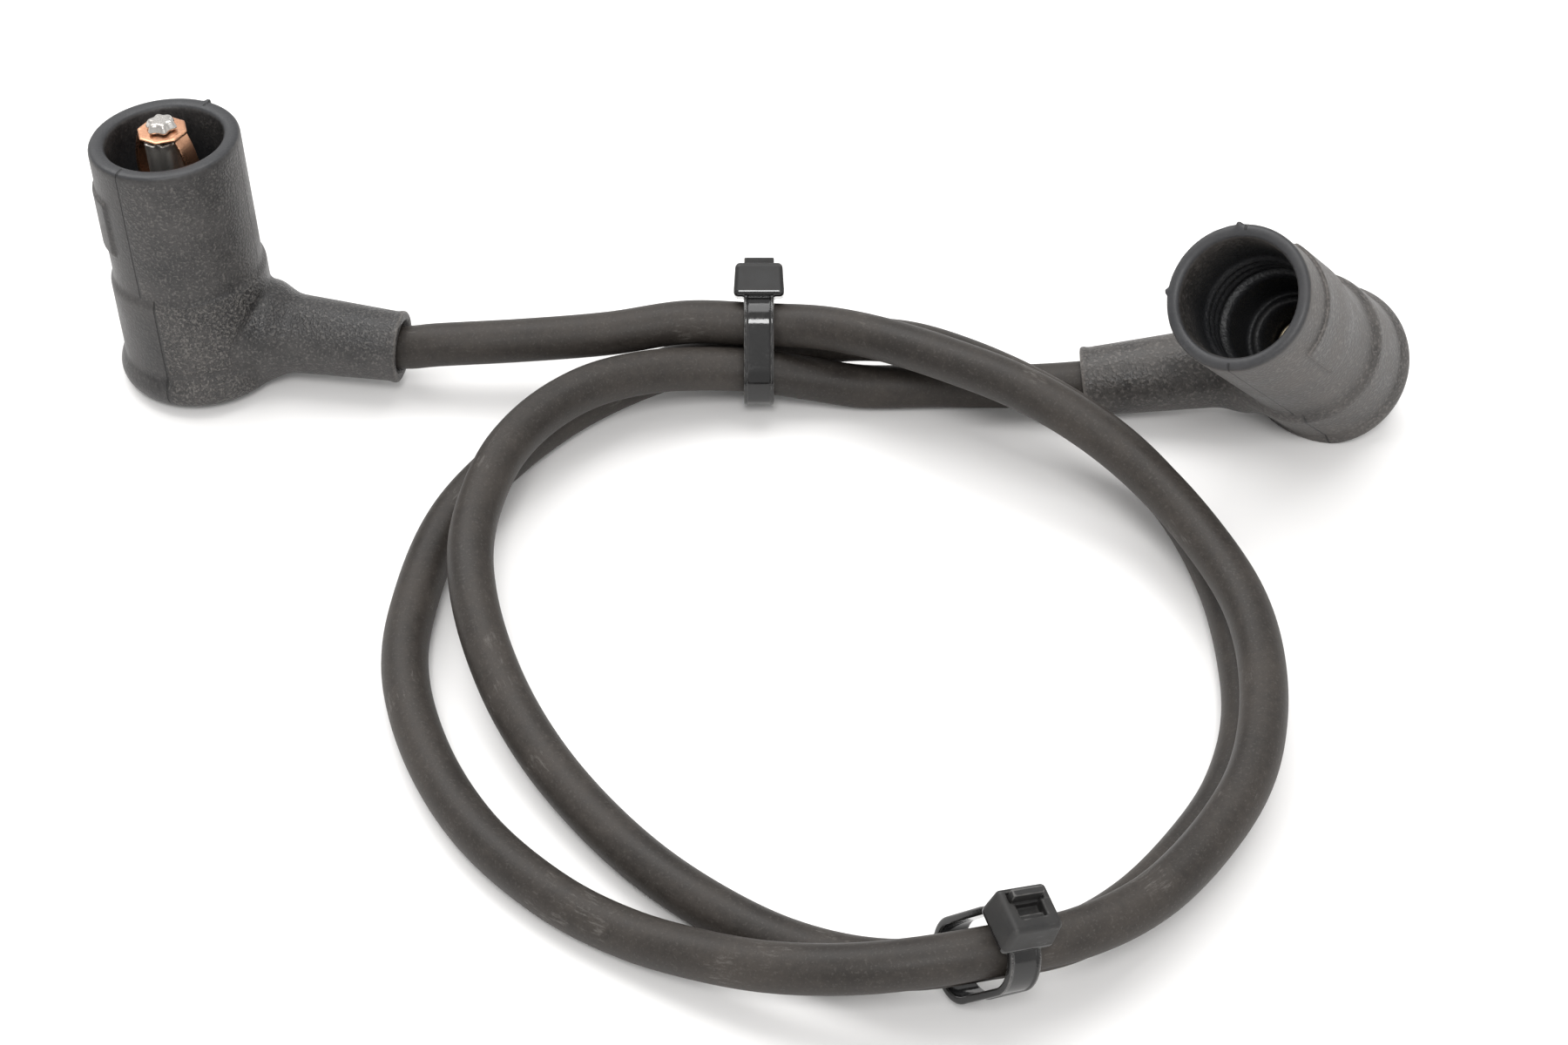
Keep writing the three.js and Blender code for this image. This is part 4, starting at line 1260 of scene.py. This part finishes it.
@dataclass
class CoilTerminal(Terminal):
    """The left terminal: a star-fluted post, and a sprung copper contact riveted on its top."""

    post_radius: float = 0.0033
    flute_depth: float = 0.00055
    lobes: int = 6
    above_rim: float = 0.0006
    cap_radius: float = 0.0037
    spring_sheet: float = 0.0005
    arm_width: float = 0.003
    arm_bow: float = 0.0066
    arm_bow_at: float = 0.45
    arm_drop: float = 0.013
    arm_turn: float = math.radians(-20)
    rivet_radius: float = 0.0027
    rivet_height: float = 0.0015
    shank_radius: float = 0.0013
    shank_length: float = 0.006

    def post_top(self) -> float:
        """Returns how high the post stands."""
        return self.boot.height + self.above_rim

    def build_post(self, material: bpy.types.Material) -> None:
        """Makes the post, with its flared zigzag top edge, and the crimp below."""
        top = self.post_top()
        reach = self.boot.cable_end + self.crimp_length + 0.001
        solid = DistanceField((-0.0045, -0.0052, 0.002), (reach, 0.0052, top + 0.0008), self.step)
        tongue_top = self.crimp_and_tongue(solid)
        radius, height = solid.about((0, 0, 0), np.array([0.0, 0.0, 1.0]))
        turn = np.arctan2(solid.points[..., 1], solid.points[..., 0])
        flare = np.clip((height - top + 0.0016) / 0.0016, 0, 1) ** 2
        star = self.post_radius - self.flute_depth / 2 * (1 - np.cos(self.lobes * turn))
        star = star + flare * 0.0003 * (1 + np.cos(2 * self.lobes * turn))
        edge = top - 0.0003 + 0.00028 * np.cos(2 * self.lobes * turn)
        wall = np.abs(radius - star + SHEET / 2) - SHEET / 2
        post = np.maximum(wall, np.maximum(tongue_top - SHEET - height, height - edge))
        bore_top = self.boot.elbow_height + self.boot.bore_radius
        opening = ((0.0018 + 0.005) / 2, 0.0, (tongue_top + bore_top) / 2)
        half = ((0.005 - 0.0018) / 2, 0.005, (bore_top - tongue_top) / 2)
        solid.join(np.maximum(post, -rounded_block(solid.points, opening, half, 0.0001)))
        self.keep(solid, "left_post_and_crimp", "left_terminal", Slot.STEEL, material)

    def build_spring(self, material: bpy.types.Material) -> None:
        """Makes the eight-sided cap and its two bowed arms."""
        low = self.post_top() + TOUCH_GAP
        reach = self.arm_bow + 0.0004
        bottom = low - self.arm_drop - 0.0005
        solid = DistanceField((-reach, -reach, bottom), (reach, reach, low + 0.0012), 0.00012)
        cos, sin = math.cos(self.arm_turn), math.sin(self.arm_turn)
        x = solid.points[..., 0] * cos + solid.points[..., 1] * sin
        y = solid.points[..., 1] * cos - solid.points[..., 0] * sin
        z = solid.points[..., 2]
        radius = np.hypot(x, y)
        sector = math.pi / 4
        flat = radius * np.cos((np.arctan2(y, x) + sector / 2) % sector - sector / 2)
        dome = 0.00012 * np.clip(1 - radius / self.cap_radius, 0, 1)
        section = np.stack([flat, z - low - self.spring_sheet / 2 - dome], axis=-1)
        solid.join(rounded_block(section, (0.0, 0.0), (self.cap_radius, self.spring_sheet / 2), 0.00018))
        start = np.array([self.cap_radius - 0.0004, low + self.spring_sheet / 2])
        bow = np.array([self.arm_bow, low - self.arm_drop * self.arm_bow_at])
        stop = np.array([self.post_radius + self.spring_sheet, low - self.arm_drop])
        across = np.stack([np.abs(x), z], axis=-1)
        nearest = np.full(z.shape, np.inf)
        t = np.linspace(0, 1, 25)[:, None]
        curve = (1 - t) ** 2 * start + 2 * t * (1 - t) * bow + t**2 * stop
        for first, second in zip(curve, curve[1:]):
            edge = second - first
            offset = across - first
            share = np.clip((offset @ edge) / (edge @ edge), 0, 1)
            nearest = np.minimum(nearest, ((offset - share[..., None] * edge) ** 2).sum(-1))
        strip = np.stack([np.sqrt(nearest), y], axis=-1)
        arms = rounded_block(strip, (0.0, 0.0), (self.spring_sheet / 2, self.arm_width / 2), 0.0001)
        solid.join(arms, 0.0002)
        solid.cut(radius - self.shank_radius - TOUCH_GAP)
        clear = np.maximum(radius - self.post_radius - TOUCH_GAP, z - low)
        solid.cut(clear)
        self.keep(solid, "left_spring", "left_contact_spring", Slot.COPPER, material)

    def build_rivet(self, material: bpy.types.Material) -> None:
        """Makes the rivet, with its star-fluted head."""
        low = self.post_top() + self.spring_sheet + 2 * TOUCH_GAP
        reach = self.rivet_radius + 0.0005
        foot = low - self.shank_length
        highest = low + self.rivet_height + 0.0005
        solid = DistanceField((-reach, -reach, foot - 0.0005), (reach, reach, highest), 0.0001)
        radius, height = solid.about((0, 0, 0), np.array([0.0, 0.0, 1.0]))
        solid.join(turned(radius, height, {foot: self.shank_radius, low + 0.0004: self.shank_radius}, 0.0002))
        turn = np.arctan2(solid.points[..., 1], solid.points[..., 0])
        star = radius + 0.00035 * (1 - np.cos(self.lobes * turn)) * np.clip(radius / self.rivet_radius, 0, 1)
        head = {low: self.rivet_radius, low + self.rivet_height: 0.72 * self.rivet_radius}
        solid.join(turned(star, height, head, 0.00045), 0.0001)
        self.keep(solid, "left_rivet_body", "left_rivet", Slot.STEEL, material)


@dataclass
class PlugTerminal(Terminal):
    """The right terminal: a brass cup with a sprung wire clip in it, for the spark plug's stud."""

    cup_radius: float = 0.0042
    cup_top: float = 0.0175
    clip_wire: float = 0.0006
    clip_below_top: float = 0.003
    clip_opening: float = math.radians(60)

    def build_cup(self, material: bpy.types.Material) -> None:
        """Makes the cup, with its rolled rim, and the crimp beside it."""
        boot = self.boot
        far = boot.cable_end + self.crimp_length - self.crimp_overhang + 0.002
        high = max(self.cup_top + 0.0008, boot.elbow_height + far * boot.sleeve_axis()[2] + 0.0055)
        solid = DistanceField((-0.005, -0.0055, 0.003), (far, 0.0055, high), self.step)
        tongue_top = self.crimp_and_tongue(solid)
        radius, height = solid.about((0, 0, 0), np.array([0.0, 0.0, 1.0]))
        floor = tongue_top - SHEET
        inner = self.cup_radius - SHEET
        solid.cut(np.maximum(radius - inner, np.maximum(floor - height, height - self.cup_top - 0.002)))
        wall = np.stack([radius - inner - SHEET / 2, height - (floor + self.cup_top) / 2], axis=-1)
        solid.join(rounded_block(wall, (0.0, 0.0), (SHEET / 2, (self.cup_top - floor) / 2), 0.0003))
        disc = np.maximum(floor - height, height - floor - SHEET)
        solid.join(np.maximum(radius - self.cup_radius + 0.0002, disc))
        self.keep(solid, "right_cup_and_crimp", "right_terminal", Slot.BRASS, material)

    def build_clip(self, material: bpy.types.Material) -> None:
        """Makes the open ring of wire that grips the stud."""
        middle = self.cup_radius - SHEET - TOUCH_GAP - self.clip_wire / 2
        at = self.cup_top - self.clip_below_top + self.clip_wire / 2
        reach = middle + 0.0008
        solid = DistanceField((-reach, -reach, at - 0.0008), (reach, reach, at + 0.0008), 0.00006)
        radius, height = solid.about((0, 0, 0), np.array([0.0, 0.0, 1.0]))
        turn = np.abs(np.arctan2(solid.points[..., 1], solid.points[..., 0]))
        past = np.maximum(self.clip_opening / 2 + 0.1 - turn, 0) * middle
        solid.join(np.sqrt((radius - middle) ** 2 + (height - at) ** 2 + past**2) - self.clip_wire / 2)
        self.keep(solid, "right_clip_wire", "right_retaining_clip", Slot.STEEL, material)


@dataclass(frozen=True)
class SoftLight:
    """A square studio light that is aimed at the middle of the lead."""

    name: str
    at: Point
    size: float
    power: float

    def build(self) -> None:
        """Adds the light."""
        lamp = bpy.data.lights.new(self.name, "AREA")
        lamp.size = self.size
        lamp.energy = self.power
        light = bpy.data.objects.new(self.name, lamp)
        light.location = self.at
        light.rotation_euler = (-Vector(self.at)).to_track_quat("-Z", "Y").to_euler()
        bpy.context.scene.collection.objects.link(light)


@dataclass(frozen=True)
class Studio:
    """The camera, the table and the light."""

    camera_at: Point
    camera_tilt: float
    lens: float
    floor_size: float
    sky: float
    lights: tuple[SoftLight, ...]

    def build(self, floor_finish: FloorFinish) -> None:
        """Empties the scene of what it started with, then sets the camera, the table and the lights.

        Args:
            floor_finish: What the table top is made of.
        """
        for name in ("Cube", "Light", "Camera"):
            if name in bpy.data.objects:
                bpy.data.objects.remove(bpy.data.objects[name])
        scene = bpy.context.scene
        camera = bpy.data.objects.new("camera", bpy.data.cameras.new("camera"))
        camera.location = self.camera_at
        camera.rotation_euler = (self.camera_tilt, 0, 0)
        camera.data.lens = self.lens
        scene.collection.objects.link(camera)
        scene.camera = camera
        half = self.floor_size / 2
        corners = np.array([(-half, -half, 0), (half, -half, 0), (half, half, 0), (-half, half, 0)])
        floor = mesh_piece("table", corners, [[0, 1, 2, 3]])
        floor.data.materials.append(floor_finish.make())
        for light in self.lights:
            light.build()
        world = bpy.data.worlds.new("studio")
        world.use_nodes = True
        sky = world.node_tree.nodes["Background"]
        sky.inputs["Color"].default_value = (1.0, 1.0, 1.0, 1.0)
        sky.inputs["Strength"].default_value = self.sky
        scene.world = world
        scene.view_settings.view_transform = "Standard"


STUDIO = Studio(
    camera_at=(0.00482, -0.37874, 0.3543),
    camera_tilt=math.radians(45),
    lens=73.64,
    floor_size=6.0,
    sky=0.78,
    lights=(
        SoftLight("key_light", (-0.7, 0.75, 1.25), 1.1, 12.0),
        SoftLight("top_light", (0.15, 0.35, 1.5), 0.9, 9.0),
        SoftLight("front_light", (0.8, -1.0, 0.9), 1.0, 3.0),
        SoftLight("strap_light", (0.0, -0.8, 1.1), 0.32, 6.0),
    ),
)

LEFT_RUBBER = BootFinish(
    name="left_boot_rubber",
    dark=(0.012, 0.0115, 0.0117),
    pale=(0.058, 0.054, 0.052),
    worn=(0.21, 0.195, 0.18),
    dust_cover=0.5,
    grain_scale=2500.0,
    grain_depth=0.00012,
    roughness=(0.34, 0.6),
    seams=(Seam(math.radians(-110), 0.0208, 0.0440), Seam(math.radians(-98), 0.0, 0.0208)),
    rim_from=0.0434,
)
RIGHT_RUBBER = BootFinish(
    name="right_boot_rubber",
    dark=(0.020, 0.0185, 0.0177),
    pale=(0.085, 0.077, 0.071),
    worn=(0.22, 0.20, 0.185),
    dust_cover=0.55,
    grain_scale=1900.0,
    grain_depth=0.00008,
    roughness=(0.36, 0.62),
    seams=(Seam(math.radians(76), 0.0175, 0.050), Seam(math.radians(84), 0.003, 0.0175)),
    rim_from=0.0492,
)
STEEL_FINISH = MetalFinish("plated_steel", (0.62, 0.60, 0.57), (0.30, 0.275, 0.25), 0.4, (0.22, 0.45))
POST_FINISH = MetalFinish("post_steel", (0.78, 0.75, 0.70), (0.42, 0.38, 0.33), 0.35, (0.42, 0.6))
COPPER_FINISH = MetalFinish("spring_copper", (0.80, 0.44, 0.27), (0.40, 0.20, 0.125), 0.45, (0.26, 0.5))
BRASS_FINISH = MetalFinish("cup_brass", (0.74, 0.66, 0.48), (0.33, 0.25, 0.15), 0.48, (0.26, 0.55))

LEFT_BOOT = CoilBoot(
    name="left_boot_skin",
    node="left_boot",
    height=0.044,
    tube_radius=0.0119,
    mouth_radius=0.0092,
    mouth_depth=0.024,
    body_radius=0.0125,
    ledge_height=0.0208,
    ledge_rounding=0.0016,
    foot_radius=0.0137,
    foot_height=0.0066,
    foot_rounding=0.0034,
    rim_rounding=0.0008,
    elbow_height=0.009,
    sleeve_length=0.0342,
    sleeve_root_radius=0.0083,
    sleeve_radius=0.0064,
    sleeve_end_radius=0.0056,
    sleeve_end_rounding=0.0013,
    sleeve_neck_length=0.005,
    sleeve_lean=math.radians(4.7),
    cable_end=0.0085,
    pad_top=0.037,
    pad_length=0.010,
    crispness=0.0004,
    elbow=(-0.0951, 0.0381, 0.0086),
    tube_direction=(-0.046, 0.1, 0.994),
    sleeve_direction=(0.984, -0.175, -0.02),
    nubs=(Nub(math.radians(72), 0.0118, 0.0437), Nub(math.radians(-98), 0.0131, 0.0045, 0.0004)),
    post_hole_radius=0.0036,
)
RIGHT_BOOT = PlugBoot(
    name="right_boot_skin",
    node="right_boot",
    height=0.050,
    tube_radius=0.0112,
    mouth_radius=0.0091,
    mouth_depth=0.019,
    body_radius=0.0123,
    ledge_height=0.0175,
    ledge_rounding=0.0022,
    foot_radius=0.0133,
    foot_height=0.0062,
    foot_rounding=0.0034,
    rim_rounding=0.0009,
    elbow_height=0.0095,
    sleeve_length=0.0374,
    sleeve_root_radius=0.008,
    sleeve_radius=0.0064,
    sleeve_end_radius=0.0055,
    sleeve_end_rounding=0.0018,
    sleeve_neck_length=0.006,
    sleeve_lean=math.radians(-17),
    cable_end=0.012,
    pad_top=0.042,
    pad_length=0.013,
    crispness=0.0012,
    elbow=(0.0848, 0.0253, 0.0124),
    tube_direction=(-0.44, -0.505, 0.743),
    sleeve_direction=(-0.984, 0.019, -0.176),
    nubs=(Nub(math.radians(262), 0.0111, 0.0497), Nub(math.radians(344), 0.0111, 0.0495)),
    cup_hole_radius=0.0045,
    cup_lead_in=0.0009,
    step_radius=0.0076,
    step_depth=0.009,
    rib_heights=(0.0375, 0.0353, 0.0331),
)

UPPER_TIE_X = -0.004
UPPER_TIE_TOP_STRAND = (0.032, 0.0129)
UPPER_TIE_BACK_STRAND = (0.0345, 0.0055)
UPPER_TIE_FRONT_STRAND = (0.027, 0.0074)
LOWER_TIE_X = 0.027
LOWER_TIE_HIGH_STRAND = (-0.094, 0.0135)
LOWER_TIE_LOW_STRAND = (-0.0895, 0.00695)
LOWER_TIE_RUN = (0.974, 0.228, 0.0)
LOWER_TIE_SKEW = math.radians(18)
LOWER_TIE_REACH = 0.004658

# The cable's free way from the left sleeve to the right one, in the layout
ROUTE = (
    (-0.056, 0.0315, 0.009), (-0.042, 0.0315, 0.010), (-0.028, 0.0315, 0.0115), (-0.0155, 0.0325, 0.013),
    (UPPER_TIE_X, *UPPER_TIE_TOP_STRAND),
    (0.0062, 0.0299, 0.0141), (0.0155, 0.0249, 0.0161), (0.026, 0.0178, 0.018), (0.0365, 0.011, 0.0185),
    (0.0455, 0.005, 0.017),
    (0.054, -0.0022, 0.0144), (0.062, -0.0135, 0.0123), (0.068, -0.0285, 0.0115), (0.069, -0.0445, 0.0115),
    (0.066, -0.060, 0.0115),
    (0.060, -0.0715, 0.0115), (0.050, -0.0835, 0.012), (0.0395, -0.0903, 0.0128),
    (LOWER_TIE_X, *LOWER_TIE_HIGH_STRAND),
    (0.016, -0.0955, 0.0127), (0.007, -0.095, 0.011), (-0.0025, -0.093, 0.009), (-0.012, -0.089, 0.0065),
    (-0.0215, -0.084, 0.0045),
    (-0.0315, -0.0775, 0.004), (-0.043, -0.066, 0.004), (-0.0515, -0.051, 0.004), (-0.056, -0.0345, 0.004),
    (-0.0555, -0.020, 0.004),
    (-0.0515, -0.003, 0.004), (-0.0435, 0.0105, 0.004), (-0.0325, 0.0225, 0.004), (-0.0185, 0.031, 0.0045),
    (UPPER_TIE_X, *UPPER_TIE_BACK_STRAND),
    (0.005, 0.0343, 0.007), (0.013, 0.0324, 0.0094), (0.0205, 0.029, 0.0115), (0.029, 0.0245, 0.012),
    (0.0382, 0.0185, 0.0118),
    (0.0465, 0.0132, 0.010), (0.054, 0.007, 0.0076), (0.0608, -0.0022, 0.0053), (0.0655, -0.015, 0.004),
    (0.0675, -0.030, 0.004),
    (0.067, -0.045, 0.004), (0.063, -0.058, 0.004), (0.0565, -0.0685, 0.004), (0.0475, -0.079, 0.0045),
    (0.038, -0.0862, 0.006),
    (LOWER_TIE_X, *LOWER_TIE_LOW_STRAND),
    (0.018, -0.0907, 0.0064), (0.010, -0.0893, 0.0052), (0.0015, -0.0859, 0.0041), (-0.0065, -0.0815, 0.004),
    (-0.0175, -0.073, 0.004), (-0.027, -0.063, 0.0045), (-0.035, -0.052, 0.0055), (-0.041, -0.041, 0.0075),
    (-0.0455, -0.028, 0.010),
    (-0.047, -0.017, 0.0115), (-0.046, -0.0065, 0.0118), (-0.043, 0.004, 0.0118), (-0.0375, 0.013, 0.0115),
    (-0.0305, 0.0193, 0.0112),
    (-0.022, 0.0236, 0.0102), (-0.013, 0.026, 0.0088),
    (UPPER_TIE_X, *UPPER_TIE_FRONT_STRAND),
    (0.004, 0.0272, 0.0056), (0.0125, 0.0272, 0.0039), (0.024, 0.0273, 0.0039), (0.037, 0.027, 0.0041),
)


def frame_at(axes: tuple[np.ndarray, np.ndarray, np.ndarray], origin: Point) -> Matrix:
    """Returns a frame with those X, Y and Z axes at a point of the layout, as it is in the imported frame."""
    place = Matrix(np.column_stack(axes).tolist()).to_4x4()
    place.translation = Vector(origin) + LAYOUT_SHIFT
    return place


def upper_tie() -> Tie:
    """Sizes the tie round the three strands at the back. Its own plane is the layout's YZ plane."""
    axes = (np.array([0.0, 1.0, 0.0]), np.array([0.0, 0.0, 1.0]), np.array([1.0, 0.0, 0.0]))
    return Tie(
        name="upper_tie_moulding",
        node="upper_tie",
        strands=(UPPER_TIE_TOP_STRAND, UPPER_TIE_BACK_STRAND, UPPER_TIE_FRONT_STRAND)[::-1],
        head_strand=UPPER_TIE_TOP_STRAND,
        head_angle=math.radians(45),
        inner_radius=CABLE_RADIUS + 0.0008,
        place=frame_at(axes, (UPPER_TIE_X, 0.0, 0.0)),
    )


def lower_tie() -> Tie:
    """Sizes the slack tie that hangs askew on the two strands at the front."""
    run = unit(LOWER_TIE_RUN)
    high, low = np.array(LOWER_TIE_HIGH_STRAND), np.array(LOWER_TIE_LOW_STRAND)
    stack = np.array([0.0, *(high - low)])
    stack = unit(stack - run * (stack @ run))
    cos, sin = math.cos(LOWER_TIE_SKEW), math.sin(LOWER_TIE_SKEW)
    across = stack * cos + run * sin
    axis = run * cos - stack * sin
    middle = (high + low) / 2
    return Tie(
        name="lower_tie_moulding",
        node="lower_tie",
        strands=((LOWER_TIE_REACH, 0.0), (-LOWER_TIE_REACH, 0.0)),
        head_strand=(LOWER_TIE_REACH, 0.0),
        head_angle=math.radians(-25),
        inner_radius=CABLE_RADIUS + 0.0014,
        place=frame_at((across, np.cross(axis, across), axis), (LOWER_TIE_X, *middle)),
    )


def main() -> None:
    """Builds the lead piece by piece, in the photo's view."""
    logging.basicConfig(level=logging.INFO, format="%(message)s")
    STUDIO.build(FloorFinish())
    effects = Effects()
    nylon = NylonFinish().make(effects)
    ties = [tie.build(nylon) for tie in (upper_tie(), lower_tie())]
    cable = Cable(LEFT_BOOT, RIGHT_BOOT, ROUTE).build(CableFinish().make(effects), ties)
    boots = [LEFT_BOOT.build(LEFT_RUBBER.make(effects)), RIGHT_BOOT.build(RIGHT_RUBBER.make(effects))]
    for piece in (*ties, cable, *boots):
        log.info("%s: %d faces", piece.name, len(piece.data.polygons))
    steel = STEEL_FINISH.make(effects)
    contact = CoilTerminal(LEFT_BOOT, tongue_end=0.0033)
    contact.build_post(POST_FINISH.make(effects))
    contact.build_spring(COPPER_FINISH.make(effects))
    contact.build_rivet(steel)
    plug = PlugTerminal(RIGHT_BOOT, tongue_end=0.0)
    plug.build_cup(BRASS_FINISH.make(effects))
    plug.build_clip(steel)
    fibre = FibreFinish().make(effects)
    for node in ("left_core_end", "right_core_end"):
        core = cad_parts[node]
        core.data.materials.clear()
        core.data.materials.append(fibre)
        log.info("%s: dressed", node)


if __name__ == "__main__":
    main()
